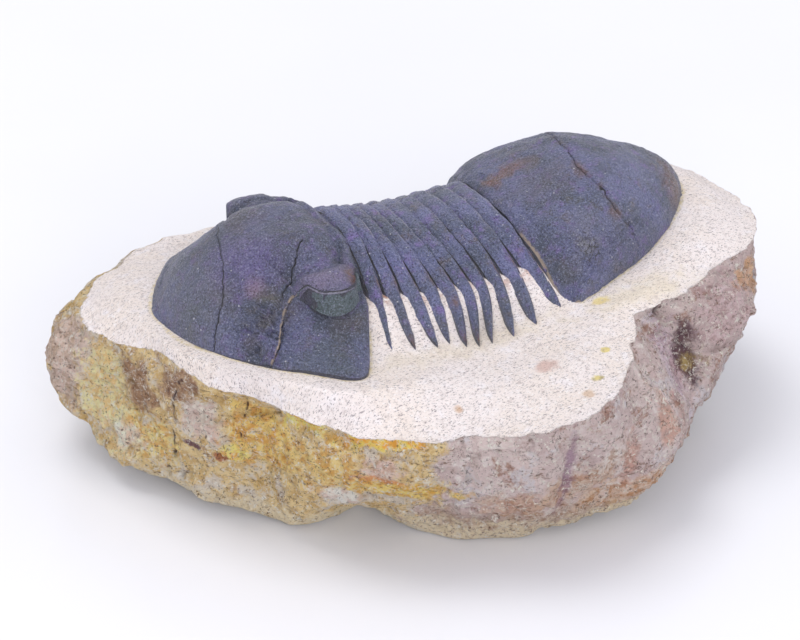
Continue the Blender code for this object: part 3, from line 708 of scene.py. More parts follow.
def cheek_surface(out, back, side, swell):
    """A free cheek: out runs -1 to 0 down the eye's wall, and 0 to 1 from its foot to the outer edge. The wall is
    a little hollow, and a groove runs round its foot."""
    inner_x, inner_w = suture(back)
    inner_w = inner_w + SEAM
    outer_x, outer_w = cheek_edge(back)
    reach = np.maximum(np.hypot(outer_x - inner_x, outer_w - inner_w), WALL_OUT)
    wall = WALL_OUT / reach
    down = np.clip(out + 1, 0, 1)
    share = np.where(out > 0, wall + out * (1 - wall), wall * down**2.2)
    x = inner_x * (1 - share) + outer_x * share
    w = inner_w * (1 - share) + outer_w * share
    foot_x = inner_x * (1 - wall) + outer_x * wall
    foot_w = inner_w * (1 - wall) + outer_w * wall
    top = head_top(inner_x, inner_w) - 0.1 - 0.25 * beside_eye(inner_x)
    foot = head_dome(foot_x, foot_w)
    tall = smoothstep(0.15, 1.4, top - foot)
    distance = np.clip(out, 0, 1) * (reach - WALL_OUT)
    step_up = tall * eye_step(foot_x)
    foot = foot + step_up
    groove = tall * (-0.30 * bell(distance - 0.15, 0.35) + 0.10 * bell(distance - 1.2, 0.6))
    height = np.where(out > 0, head_dome(x, w) + step_up * bell(distance, 2.6), top + (foot - top) * down**0.9)
    height = height + groove * (out > -0.35)
    height = height + rounded_edge((1 - np.clip(out, 0, 1)) * reach, 0.45, 0.8)
    points = placed(x, side * w, height)
    relief, crack_and_shade = head_relief(points, swell)
    seam = (1 - tall) * bell(np.where(out > 0, distance + WALL_OUT, down * WALL_OUT), 0.14)
    drum = tall * (out < 0)
    # painted shade: a dark line in the groove round the foot of the eye's wall
    crack_and_shade = np.maximum(crack_and_shade, 0.45 * tall * bell(np.where(out > 0, distance, 0.3), 0.12))
    # painted shadow: a dark line at the top of the eye's wall, under the lid's rim
    crack_and_shade = np.maximum(crack_and_shade, 0.85 * drum * bell(down, 0.13))
    return raised(points, relief * (1 - 0.8 * drum)), {"crack_and_shade": crack_and_shade, "seam": seam, "drum": drum}


# ---------------------------------------------------------------- the thorax

SEGMENTS = 10
GAP = 0.3
GAP_BASE_V = 0.68  # where along a segment, from 0 at the midline to 1 at the tip, its blade begins
blade_width = curve((0, 1), (0.12, 0.90), (0.3, 0.79), (0.56, 0.65), (0.83, 0.38), (1, 0.03))
BLADE_FALL = 1.08
BLADE_SWING = 0.7  # how much of the body's backward slope a blade starts with
MIDDLE_TRIM, JOINT_TRIM = 0.03, GAP / 2 + 0.02  # what each end of a ring loses near the midline, and at its side
RING_FADE = 0.6  # how much lower a ring's rear lip is at the tip of the blade
TUCKED = 0.16  # share of a ring's length that lies under the ring before it

axis_x = curve(
    (0, -6.9), (0.1, -4.9), (0.2, -3.15), (0.3, -1.5), (0.4, 0.3), (0.5, 2.3), (0.6, 4.7), (0.8, 9.7), (1, 14.8)
)
gap_x = curve((0, -7.15), (0.1, -5.0), (0.5, 4.5), (0.8, 11.1), (1, 16.6))
gap_w = curve((0, 9.7), (0.1, 10.3), (0.3, 10.9), (0.7, 11.5), (1, 11.1))
thorax_crest = curve((0, 33.9), (0.15, 33.3), (0.3, 32.7), (0.6, 31.7), (1, 31.6))
gap_height = curve((0, 29.0), (0.1, 28.4), (0.3, 27.6), (0.6, 27.2), (1, 27.6))
tip_height = curve((0, 23.5), (0.5, 22.9), (0.85, 23.2), (1, 24.3))
# Where the blade of each segment ends: (x, distance from the midline).
TIPS = (
    (-7.0, 16.9), (-4.1, 17.5), (-1.2, 17.8), (0.6, 17.6), (2.4, 18.7),
    (3.9, 19.2), (5.7, 19.3), (8.7, 19.4), (12.2, 18.9), (16.4, 17.7),
)
ring_rise = curve((0, -0.3), (0.2, 0.05), (0.6, 0.35), (0.9, 0.3), (1, 0.1))


def segment_surface(number, across, reach, swell):
    """A thoracic segment: across runs 0 to 1 from its front edge to its rear, and below 0 where it is tucked
    under the one before, reach -1 to 1 from tip to tip. A furrow runs slantwise over each side of the ring."""
    middle = (number + 0.5) / SEGMENTS
    tip_x, tip_w = TIPS[number]
    side = np.abs(reach)
    body = 1 - smoothstep(0.50, 0.66, side)
    tucked = np.clip(-across / TUCKED, 0, 1) * body
    across = np.where(across < 0, across * body, across)
    place = (number + across) / SEGMENTS
    inner = np.minimum(side / GAP_BASE_V, 1)
    blade = np.clip((side - GAP_BASE_V) / (1 - GAP_BASE_V), 0, 1)
    w = gap_w(place) * inner
    w = w + (tip_w - w) * blade
    body_x = axis_x(place) + (gap_x(place) - axis_x(place)) * inner**2 + np.minimum(place, 0) * 20
    width = blade_width(blade)
    slope = 2 * (gap_x(middle) - axis_x(middle)) / gap_w(middle) * (tip_w - gap_w(middle)) * BLADE_SWING
    swing = gap_x(middle) + (tip_x - gap_x(middle)) * blade * blade * (3 - 2 * blade)
    swing = swing + slope * blade * (1 - blade) ** 2 + (tip_x - gap_x(middle)) * blade * blade * (blade - 1)
    blade_x = swing + (gap_x(place) - gap_x(middle)) * width
    trim = MIDDLE_TRIM + (JOINT_TRIM - MIDDLE_TRIM) * smoothstep(0.36, 0.62, side)
    x = np.where(blade > 0, blade_x, body_x) + trim * (1 - 2 * across) * width
    height = thorax_crest(place) - (thorax_crest(place) - gap_height(place)) * inner**2
    height = height - (gap_height(middle) - tip_height(middle)) * blade**BLADE_FALL
    height = height + ring_rise(np.clip(across, 0, 1)) * (1 - RING_FADE * blade) - 0.8 * tucked
    height = height + body * (0.12 * bell(across - 0.90, 0.06) + rounded_edge(1 - across, 0.42, 0.10))
    furrow_at = 0.30 + 0.9 * (side - 0.30)
    furrow = smoothstep(0.24, 0.34, side) * smoothstep(0.74, 0.60, side)
    height = height - 0.20 * furrow * bell(across - furrow_at, 0.085)
    height = height - 0.12 * bell(side - 0.31, 0.03)
    blade_on = smoothstep(0.60, 0.76, side)
    height = height - 0.55 * blade_on * np.abs(2 * across - 1) ** 3 * (1 - 0.5 * blade)
    points = placed(x, np.sign(reach) * w, height)
    relief = shell_relief(points, swell, 60)
    # painted highlight: a pale line along the top of the ring's rear lip, broken by noise
    edge_highlight = bell(across - 0.87, 0.04) * smoothstep(0.50, 0.2, side) * (1.0 - 0.4 * (number > 4))
    edge_highlight = edge_highlight * smoothstep(-0.6, 0.1, noise(points, 1.4, 62))
    # painted shadow: a dark line along the ring's front edge, under the rear lip of the ring before
    line = bell(across - 0.01, 0.045) * smoothstep(0.0, 0.25, side) * smoothstep(0.74, 0.68, side)
    rust = 0.7 * bell(across - 1.0, 0.08) * body * smoothstep(0.0, 0.6, noise(points, 1.6, 63 + number))
    rust = rust + bell(side - 0.80, 0.03) * bell(across - 0.5, 0.3) * (number == 4)
    rust = rust + bell(side - 1, 0.055) * (number in (1, 4, 5)) + bell(side - 0.66, 0.05) * bell(across - 1, 0.2)
    return raised(points, relief), {"crack_and_shade": line, "edge_highlight": edge_highlight, "rust": np.clip(rust, 0, 1)}


# ---------------------------------------------------------------- the tail

TAIL_EDGE = (
    (18.0, 19.2), (17.6, 21.0), (16.2, 25.0), (13.7, 31.1), (10.9, 36.1), (6.0, 41.9), (2.8, 44.1), (0, 44.7),
)
TAIL_FRONT = (
    (0, 15.3), (6, 15.6), (10, 16.1), (12.7, 16.5), (15.0, 16.9), (16.6, 17.4), (17.6, 18.2), (18.0, 19.2),
)
tail_crest = curve(
    (15, 31.2), (16, 31.7), (20, 33.3), (25, 35.2), (29, 35.9), (33, 35.1), (37, 33.5), (42.6, 30.6), (44.8, 28.2)
)
tail_front_x = curve(*TAIL_FRONT)
TAIL_FALL = 0.6
TAIL_DIP = 1.4  # how far each side falls towards the front edge
TAIL_SHOULDER = 7.0  # how far back the rounding of its front corners reaches


def tail_edge(place):
    """(x, w) of the tail's outer edge, from its front corner at 0 to its end at 1."""
    w, x = np.array(TAIL_EDGE).T
    return by_length(x, w, place)


def tail_half_width(x):
    place = np.linspace(0, 1, 200)
    edge_x, edge_w = tail_edge(place)
    return np.maximum(np.interp(x, edge_x, edge_w), 1e-3)


def tail_dome(x, w):
    """Height of the tail: a dome, cut down at its two front corners."""
    edge = bed(x, w) + far_fall(w) + MARGIN_RISE
    across = np.abs(w) / tail_half_width(x)
    forward = np.clip(1 - (x - tail_front_x(np.abs(w))) / TAIL_SHOULDER, 0, 1)
    rounding = smoothstep(8, 19, np.abs(w)) * forward ** 2
    return edge + (tail_crest(x) - edge) * (np.clip(1 - across ** 2, 0, 1) * (1 - rounding)) ** TAIL_FALL


TAIL_CRACK = (
    (28.6, 13.5), (28.2, 10.5), (27.5, 6.8), (26.6, 2.1), (26.8, -0.5), (27.4, -3.2),
    (28.2, -5.8), (29.3, -7.5), (30.1, -8.5), (30.8, -9.4), (31.6, -10.4),
)


def tail_surface(back, reach, swell):
    """The tail shield: back runs 0 to 1 from its front edge to its rear, reach -1 to 1 from corner to corner. It has
    a faint axis, a shallow border, a crack with a low swelling along it, and a patch of small pits."""
    side = np.abs(reach)
    edge_x, edge_w = tail_edge(1 - side)
    front_w = side * TAIL_FRONT[-1][0]
    front_x = tail_front_x(front_w) + 0.08
    x = front_x * (1 - back) + edge_x * back
    w = (front_w * (1 - back) + edge_w * back) * np.sign(reach)
    length = np.hypot(edge_x - front_x, edge_w - front_w)
    from_edge, from_front = (1 - back) * length, back * length
    height = tail_dome(x, w) + rounded_edge(from_edge, 0.5, 0.8) + rounded_edge(from_front, 0.45, 0.7)
    height = height - 0.12 * bell(from_edge - 3.0, 1.4) * smoothstep(0, 4, from_front)
    dip = TAIL_DIP * smoothstep(4.5, 10, np.abs(w)) * smoothstep(0, 3, from_edge)
    height = height - dip * np.clip(1 - from_front / 4, 0, 1) ** 2
    axis = smoothstep(7.6, 5.6, np.abs(w) + 0.16 * (x - 16)) * smoothstep(34, 26, x)
    height = height + 0.20 * axis
    points = placed(x, w, height)
    wander = 0.34 * np.stack([rough(points, 1.6, 81, 3, 0.6), rough(points, 1.6, 88, 3, 0.6)], -1)
    distance, along = from_route(points[..., :2] + wander, TAIL_CRACK)
    strength = 0.45 + 0.55 * bell(along - 4.6, 2.4) * smoothstep(-0.7, 0.2, noise(points, 1.1, 90))
    relief = shell_relief(points, swell, 80)
    relief = relief - 0.32 * strength * bell(distance, 0.13) + 0.09 * strength * bell(distance, 0.7)
    lined = smoothstep(0.9, 1.6, from_edge) * smoothstep(5.5, 2.5, from_edge)
    relief = relief + lined * 0.08 * np.sin(from_edge * 6 + 2.4 * noise(points, 3.0, 91))
    relief = relief + 0.05 * np.sin(from_edge * 1.7 + 1.2 * noise(points, 8.0, 94)) * smoothstep(3.0, 6.0, from_edge)
    relief = relief - 0.16 * bell(from_front - 1.5, 0.28) * smoothstep(1.0, 3.0, from_edge)
    pitted = bell(np.hypot(points[..., 0] - 22.3, points[..., 1] + 9.3), 2.0)
    _, pit = chips(points, 0.75, 83)
    relief = relief - 0.26 * pitted * smoothstep(0.25, 0.7, pit) + 0.14 * pitted * noise(points, 0.9, 84)
    rust = 0.7 * strength * bell(distance, 0.42) * smoothstep(-0.3, 0.4, noise(points, 0.9, 85))
    sliver = bell(from_front, 0.25) * smoothstep(-7.0, -9.0, w)
    crack_and_shade = np.maximum(strength * bell(distance, 0.10), 0.8 * pitted * smoothstep(0.16, 0.06, pit))
    return raised(points, relief), {"crack_and_shade": crack_and_shade, "seam": sliver, "rust": rust}


# ---------------------------------------------------------------- materials


def tone(red, green, blue):
    """A colour from its 0 to 255 screen values, as Blender's linear numbers."""
    share = np.array([red, green, blue]) / 255
    linear = np.where(share <= 0.04045, share / 12.92, ((share + 0.055) / 1.055) ** 2.4)
    return (*(float(value) for value in linear), 1.0)


class Graph:
    """Adds nodes to a node tree. An input is given as a value, or as the socket that it is joined to."""

    def __init__(self, tree):
        self.tree = tree

    def join(self, value, socket):
        if isinstance(value, bpy.types.NodeSocket):
            self.tree.links.new(value, socket)
        else:
            socket.default_value = value

    def add(self, kind, inputs=(), **settings):
        node = self.tree.nodes.new(kind)
        for name, value in settings.items():
            setattr(node, name, value)
        for key, value in dict(inputs).items():
            self.join(value, node.inputs[key])
        return node

    def math(self, operation, a, b=0.0):
        return self.add("ShaderNodeMath", {0: a, 1: b}, operation=operation).outputs[0]

    def times(self, a, b):
        return self.math("MULTIPLY", a, b)

    def plus(self, a, b):
        return self.math("ADD", a, b)

    def band(self, value, low, high, to_low=0.0, to_high=1.0):
        """value, taken smoothly from low..high to to_low..to_high."""
        inputs = {"Value": value, "From Min": low, "From Max": high, "To Min": to_low, "To Max": to_high}
        return self.add("ShaderNodeMapRange", inputs, interpolation_type="SMOOTHSTEP").outputs[0]

    def mix(self, share, a, b):
        """a where share is 0, b where it is 1."""
        node = self.add("ShaderNodeMix", data_type="RGBA")
        for name, value in (("Factor_Float", share), ("A_Color", a), ("B_Color", b)):
            self.join(value, next(socket for socket in node.inputs if socket.identifier == name))
        return next(socket for socket in node.outputs if socket.identifier == "Result_Color")

    def lay(self, under, mask, strength, colour):
        """A colour laid over another, as far as the mask times strength."""
        return self.mix(self.times(mask, strength), under, colour)

    def noise(self, at, scale, detail=3.0, roughness=0.55, distortion=0.0):
        inputs = {"Vector": at, "Scale": scale, "Detail": detail, "Roughness": roughness, "Distortion": distortion}
        return self.add("ShaderNodeTexNoise", inputs).outputs["Fac"]

    def cloud(self, at, scale, detail, roughness, low, high, to_low=0.0, to_high=1.0):
        """Noise, with its low..high taken smoothly to to_low..to_high."""
        return self.band(self.noise(at, scale, detail, roughness), low, high, to_low, to_high)

    def wander(self, at, scale, detail, roughness, reach):
        """Noise about 0, reach from lowest to highest."""
        return self.times(self.math("SUBTRACT", self.noise(at, scale, detail, roughness), 0.5), reach)

    def line(self, at, scale, roughness, distortion, level, narrow, wide, strength):
        """A thin line where noise passes a level, as strong as strength says."""
        off = self.math("SUBTRACT", self.noise(at, scale, 5.0, roughness, distortion), level)
        return self.times(self.band(self.math("ABSOLUTE", off), narrow, wide, 1.0, 0.0), strength)

    def stretched(self, at, scale, turn=(0.0, 0.0, 0.0)):
        return self.add("ShaderNodeMapping", {"Vector": at, "Scale": scale, "Rotation": turn}).outputs[0]

    def mask(self, name):
        return self.add("ShaderNodeAttribute", attribute_name=name, attribute_type="GEOMETRY").outputs["Fac"]

    def group(self, group, inputs):
        return self.add("ShaderNodeGroup", inputs, node_tree=group).outputs[0]

    def finish(self, shader, colour, height, depth):
        """Joins the colour to the shader, and a height to its normal through a bump of this depth in metres."""
        bump = self.add("ShaderNodeBump", {"Height": height, "Distance": depth, "Strength": 1.0})
        self.join(colour, shader.inputs["Base Color"])
        self.join(bump.outputs[0], shader.inputs["Normal"])


def new_group(name, inputs, output):
    """A shader node group with these named sockets, its graph, and its input node's sockets."""
    group = bpy.data.node_groups.new(name, "ShaderNodeTree")
    for way, sockets in (("INPUT", inputs), ("OUTPUT", (output,))):
        for socket, kind in sockets:
            group.interface.new_socket(socket, in_out=way, socket_type=kind)
    graph = Graph(group)
    return group, graph, graph.add("NodeGroupInput").outputs


FLOAT, VECTOR, COLOUR = "NodeSocketFloat", "NodeSocketVector", "NodeSocketColor"


def once(make):
    """A maker of a node group that makes it only the first time."""
    return lambda: bpy.data.node_groups.get(make.__name__.title()) or make()


@once
def blotch():
    """A ragged patch about a centre: 1 inside an upright-sided ellipsoid, 0 outside, its edge broken by noise."""
    inputs = (("At", VECTOR), ("Ragged", FLOAT), ("Centre", VECTOR), ("Radii", VECTOR), ("Soft", FLOAT))
    group, graph, given = new_group("Blotch", inputs, ("Mask", FLOAT))
    away = graph.add("ShaderNodeVectorMath", {0: given["At"], 1: given["Centre"]}, operation="SUBTRACT")
    scaled = graph.add("ShaderNodeVectorMath", {0: away.outputs[0], 1: given["Radii"]}, operation="DIVIDE")
    length = graph.add("ShaderNodeVectorMath", {0: scaled.outputs[0]}, operation="LENGTH").outputs["Value"]
    broken = graph.plus(length, given["Ragged"])
    low, high = graph.math("SUBTRACT", 1.0, given["Soft"]), graph.plus(1.0, given["Soft"])
    graph.add("NodeGroupOutput", {"Mask": graph.band(broken, low, high, 1.0, 0.0)})
    return group


@once
def speckle():
    """Small dots, one in some of the cells of a lattice: 1 in a dot, 0 outside."""
    inputs = (("At", VECTOR), ("Per mm", FLOAT), ("Radius", FLOAT), ("Share", FLOAT))
    group, graph, given = new_group("Speckle", inputs, ("Mask", FLOAT))
    cells = graph.add("ShaderNodeTexVoronoi", {"Vector": given["At"], "Scale": given["Per mm"]})
    random = graph.add("ShaderNodeSeparateColor", {"Color": cells.outputs["Color"]})
    chosen = graph.math("LESS_THAN", random.outputs[0], given["Share"])
    size = graph.times(given["Radius"], graph.plus(random.outputs[1], 0.35))
    dot = graph.band(graph.math("DIVIDE", cells.outputs["Distance"], size), 0.7, 1.0, 1.0, 0.0)
    graph.add("NodeGroupOutput", {"Mask": graph.times(dot, chosen)})
    return group


@once
def mottle():
    """Three colours mingled by two sizes of noise."""
    inputs = (("At", VECTOR), ("Scale", FLOAT), ("First", COLOUR), ("Second", COLOUR), ("Third", COLOUR))
    group, graph, given = new_group("Mottle", inputs, ("Color", COLOUR))
    coarse = graph.cloud(given["At"], given["Scale"], 4.0, 0.6, 0.36, 0.64)
    fine = graph.cloud(given["At"], graph.times(given["Scale"], 3.7), 5.0, 0.65, 0.50, 0.72)
    mingled = graph.mix(coarse, given["First"], given["Second"])
    graph.add("NodeGroupOutput", {"Color": graph.mix(fine, mingled, given["Third"])})
    return group


def mottled(graph, at, scale, first, second, third):
    inputs = {"At": at, "Scale": scale, "First": first, "Second": second, "Third": third}
    return graph.group(mottle(), inputs)


def new_material(name):
    """An empty material with a Principled BSDF, its graph, and the place in millimetres in the stone's frame."""
    material = bpy.data.materials.new(name)
    material.use_nodes = True
    graph = Graph(material.node_tree)
    shader = material.node_tree.nodes["Principled BSDF"]
    here = graph.add("ShaderNodeTexCoord").outputs["Object"]
    origin = [-float(value) for value in FRAME_ORIGIN]
    inputs = {"Vector": here, "Scale": (1 / MM, 1 / MM, 1 / MM), "Location": origin}
    at = graph.add("ShaderNodeMapping", inputs).outputs[0]
    return material, graph, shader, at


# Patches of the flank: (centre, radii, softness, strength, screen colour, colour mingled in), from the head's end
# round the near side to the tail's.
FLANK_PATCHES = (
    ((-38.2, 19.5, 15.5), (2.6, 7.0, 7.0), 0.3, 0.9, (186, 166, 158), (164, 142, 128)),
    ((-35.8, 12.4, 11.5), (3.6, 5.2, 6.4), 0.25, 0.95, (214, 190, 146), (196, 168, 118)),
    ((-33.5, 7.0, 15.6), (3.4, 3.4, 3.8), 0.3, 0.95, (150, 120, 96), (124, 92, 70)),
    ((-30.9, 0.4, 18.8), (3.2, 4.6, 2.2), 0.3, 0.95, (156, 128, 104), (122, 92, 74)),
    ((-33.0, 4.6, 8.9), (4.0, 4.4, 3.4), 0.25, 0.9, (212, 182, 126), (190, 150, 88)),
    ((-28.8, -2.8, 14.6), (2.8, 3.2, 2.6), 0.35, 0.9, (206, 188, 178), (186, 164, 156)),
    ((-35.5, 9.5, 7.6), (3.4, 3.4, 1.5), 0.35, 0.8, (214, 200, 188), (190, 172, 160)),
    ((-24.2, -9.6, 14.5), (4.6, 4.8, 4.4), 0.3, 0.95, (206, 172, 104), (180, 132, 66)),
    ((-18.6, -18.6, 12.5), (5.6, 5.8, 5.2), 0.3, 0.95, (206, 176, 120), (180, 138, 76)),
    ((-21.3, -14.8, 18.6), (3.4, 3.8, 1.5), 0.3, 0.85, (224, 190, 112), (202, 156, 70)),
    ((-14.4, -22.0, 18.6), (4.6, 3.0, 1.3), 0.25, 0.95, (226, 176, 88), (204, 140, 52)),
    ((-13.8, -22.6, 15.2), (4.2, 2.6, 1.8), 0.35, 0.85, (190, 166, 160), (164, 132, 116)),
    ((-14.0, -22.6, 13.2), (4.4, 2.8, 0.8), 0.3, 0.9, (188, 130, 84), (164, 108, 70)),
    ((-12.4, -24.2, 11.2), (6.6, 4.4, 1.9), 0.3, 0.9, (206, 176, 104), (186, 142, 62)),
    ((-26.4, -6.4, 11.2), (2.0, 2.2, 1.2), 0.3, 0.85, (224, 186, 108), (200, 148, 70)),
    ((-27.4, -4.9, 10.4), (0.9, 0.9, 0.7), 0.3, 0.9, (150, 92, 66), (132, 78, 58)),
    ((-29.4, -1.5, 11.0), (1.9, 1.7, 0.62), 0.2, 0.95, (94, 62, 72), (76, 48, 60)),
    ((18.0, -31.0, 6.2), (9.0, 7.0, 2.6), 0.35, 0.8, (188, 164, 146), (160, 116, 80)),
    ((9.0, -31.8, 10.0), (6.0, 4.0, 3.2), 0.4, 0.6, (182, 158, 134), (156, 112, 74)),
    ((6.4, -30.8, 12.0), (0.9, 3.4, 8.0), 0.5, 0.75, (140, 112, 130), (112, 84, 104)),
    ((13.0, -32.0, 12.9), (3.0, 2.4, 2.0), 0.4, 0.7, (196, 186, 182), (150, 120, 100)),
    ((21.6, -29.6, 15.4), (1.3, 2.4, 4.2), 0.4, 0.55, (184, 130, 100), (156, 106, 80)),
    ((0.5, -29.5, 8.5), (5.0, 4.0, 3.0), 0.4, 0.6, (176, 142, 112), (146, 100, 70)),
    ((15.6, -32.0, 10.6), (1.2, 3.0, 4.6), 0.5, 0.6, (170, 120, 102), (134, 90, 78)),
    ((24.2, -26.4, 12.0), (1.4, 2.4, 4.2), 0.5, 0.6, (172, 118, 98), (132, 86, 76)),
    ((-17.6, -17.6, 8.4), (3.2, 3.2, 1.6), 0.4, 0.8, (212, 206, 206), (186, 172, 168)),
    ((27.0, -21.0, 17.0), (3.0, 4.2, 6.0), 0.5, 0.5, (186, 162, 178), (158, 134, 152)),
    # dark purple-brown in the notch: partly its stain, partly painted shade in the hollow
    ((30.6, -20.2, 17.4), (2.0, 2.4, 4.2), 0.35, 0.95, (86, 60, 66), (66, 44, 52)),
    ((31.6, -21.6, 16.4), (2.2, 2.2, 1.6), 0.3, 0.85, (158, 138, 88), (120, 98, 66)),
    ((38.4, -17.6, 20.5), (5.4, 4.6, 4.2), 0.4, 0.7, (186, 164, 166), (160, 132, 132)),
    ((44.0, -12.0, 21.0), (3.0, 3.2, 2.6), 0.4, 0.75, (196, 158, 120), (172, 128, 92)),
)
# Patches on the prepared top, told the same way.
TOP_PATCHES = (
    ((21.4, -13.5, 24.0), (1.1, 0.8, 1.5), 0.3, 0.75, (232, 214, 130), (222, 196, 104)),
    ((16.6, -22.6, 22.7), (0.7, 0.5, 1.5), 0.3, 0.8, (226, 206, 116), (186, 170, 96)),
    ((13.1, -27.0, 22.1), (0.8, 0.6, 1.5), 0.3, 0.85, (222, 204, 120), (142, 130, 66)),
    ((8.6, -21.9, 22.0), (1.3, 0.9, 1.5), 0.5, 0.55, (204, 158, 146), (190, 144, 132)),
    ((-4.2, -22.8, 21.6), (0.6, 0.5, 1.5), 0.4, 0.7, (206, 164, 120), (196, 150, 108)),
    ((10.4, -29.0, 21.6), (0.8, 0.6, 1.5), 0.4, 0.6, (206, 172, 136), (196, 158, 120)),
    ((38.0, -1.0, 25.6), (0.8, 0.6, 1.5), 0.4, 0.5, (206, 172, 136), (196, 158, 120)),
    ((44.0, 2.0, 25.4), (0.8, 0.6, 1.5), 0.4, 0.5, (206, 172, 136), (196, 158, 120)),
    ((2.0, -13.2, 22.6), (13.0, 1.6, 3.0), 0.6, 0.35, (214, 200, 168), (204, 188, 156)),
    ((26.7, -14.4, 24.5), (7.0, 2.2, 2.0), 0.6, 0.35, (228, 214, 176), (216, 200, 160)),
)


def with_patches(graph, at, warp, ragged, start, patches):
    """The start colour, with each patch of the table laid over it."""
    colour = start
    for centre, radii, soft, strength, main, mingled in patches:
        inputs = {"At": at, "Ragged": ragged, "Centre": centre, "Radii": radii, "Soft": soft}
        mask = graph.group(blotch(), inputs)
        colour = graph.lay(colour, mask, strength, graph.mix(warp, tone(*main), tone(*mingled)))
    return colour


NEARLY_WHITE = 250


def brighter(patches, gain):
    """The same patches with their colours' screen values raised, up to nearly white."""
    raised_shades = [
        [tuple(min(NEARLY_WHITE, gain * value) for value in shade) for shade in patch[4:]] for patch in patches
    ]
    return [(*patch[:4], *shades) for patch, shades in zip(patches, raised_shades)]


DASHES = ((0.5, 2.3), (1.7, 2.6), (2.8, 2.0))  # the ways the top's dashes run, in radians, and their scales


def limestone_top(graph, at, ragged, grain, mingle):
    """The prepared top: nearly white, stippled with fine dark dashes, and stained round the animal."""
    top = mottled(graph, at, 0.11, tone(240, 230, 228), tone(238, 226, 219), tone(244, 237, 239))
    for turn, scale in DASHES:
        dashed = graph.stretched(at, (1.0, 2.6, 1.0), (0.0, 0.0, turn))
        top = graph.lay(top, graph.cloud(dashed, scale, 3.0, 0.6, 0.605, 0.65), 0.7, tone(124, 110, 116))
    top = graph.lay(top, graph.cloud(at, 3.1, 2.0, 0.5, 0.56, 0.70), 0.6, tone(250, 246, 246))
    top = with_patches(graph, at, mingle, ragged, top, TOP_PATCHES)
    stained = graph.times(graph.mask("base"), graph.cloud(at, 1.0, 4.0, 0.7, 0.42, 0.56))
    top = graph.lay(top, stained, 0.9, graph.mix(mingle, tone(196, 140, 118), tone(132, 84, 66)))
    margin = graph.band(graph.mask("margin"), 0.05, 0.55, 1.0, 0.0)
    top = graph.lay(top, margin, graph.band(grain, 0.40, 0.58, 0.1, 0.8), tone(220, 202, 150))
    return graph.mix(graph.cloud(at, 1.3, 5.0, 0.75, 0.46, 0.34, 0.0, 0.5), top, tone(176, 160, 158))


def limestone_flank(graph, at, ragged, grain, mingle):
    """The broken flank: ochre at the head's end and mauve at the tail's, rusty and crusted low down, with grains,
    partings and veins."""
    along, _, up = graph.add("ShaderNodeSeparateXYZ", {0: at}).outputs

    def blurred(where, reach, low, high, *to):
        return graph.band(graph.plus(where, graph.times(ragged, reach)), low, high, *to)

    flank = mottled(graph, at, 0.16, tone(234, 214, 210), tone(212, 188, 186), tone(246, 235, 231))
    flank = graph.lay(flank, blurred(along, 2.0, 20.0, 42.0), 0.8, tone(210, 186, 184))
    ruddy = graph.cloud(at, 0.27, 6.0, 0.72, 0.53, 0.62, 0.0, 0.8)
    flank = graph.mix(ruddy, flank, graph.mix(mingle, tone(188, 146, 126), tone(158, 112, 92)))
    flank = graph.mix(graph.cloud(at, 0.21, 6.0, 0.7, 0.47, 0.39, 0.0, 0.8), flank, tone(226, 218, 222))
    ochre = blurred(along, 5.0, -9.5, -7.0, 1.0, 0.0)
    sandy = graph.mix(mingle, tone(244, 216, 152), tone(222, 184, 108))
    sandy = graph.mix(graph.cloud(at, 0.5, 5.0, 0.7, 0.56, 0.66, 0.0, 0.8), sandy, tone(176, 136, 96))
    sandy = graph.mix(graph.cloud(at, 0.26, 6.0, 0.7, 0.51, 0.60, 0.0, 0.85), sandy, tone(232, 222, 208))
    flank = graph.lay(flank, ochre, 0.85, sandy)
    not_ochre = graph.math("SUBTRACT", 0.75, graph.times(ochre, 0.75))
    rusty = graph.mix(mingle, tone(198, 170, 148), tone(172, 128, 92))
    flank = graph.lay(flank, blurred(up, 2.2, 4.6, 9.0, 1.0, 0.0), not_ochre, rusty)
    flank = with_patches(graph, at, mingle, ragged, flank, brighter(FLANK_PATCHES, 1.26))
    crust = graph.times(blurred(up, 3.0, 2.6, 5.2, 1.0, 0.0), graph.band(grain, 0.30, 0.52))
    flank = graph.lay(flank, crust, 0.85, tone(246, 230, 198))
    streaks = graph.stretched(at, (0.5, 0.5, 1.6), (0.35, 0.25, 0.0))
    flank = graph.mix(graph.cloud(streaks, 1.5, 6.0, 0.72, 0.44, 0.34, 0.0, 0.8), flank, tone(132, 98, 76))
    flank = graph.mix(graph.band(grain, 0.43, 0.33, 0.0, 0.8), flank, tone(104, 80, 72))
    grains = graph.cloud(at, 1.6, 5.0, 0.75, 0.55, 0.61)
    flank = graph.lay(flank, grains, graph.cloud(at, 0.5, 3.0, 0.6, 0.40, 0.60, 0.2, 0.95), tone(250, 244, 234))
    parting = graph.line(at, 0.34, 0.65, 0.4, 0.52, 0.003, 0.011, graph.band(grain, 0.42, 0.55, 0.8, 0.1))
    flank = graph.mix(parting, flank, tone(96, 70, 62))
    vein = graph.line(at, 0.22, 0.6, 0.6, 0.5, 0.004, 0.012, graph.band(grain, 0.38, 0.55, 0.1, 0.7))
    flank = graph.mix(vein, flank, tone(236, 228, 218))
    # dark cracks and partings, and painted shade in the notch
    return graph.mix(graph.band(graph.mask("split_and_notch_shade"), 0.35, 0.8, 0.0, 0.85), flank, tone(88, 64, 66))


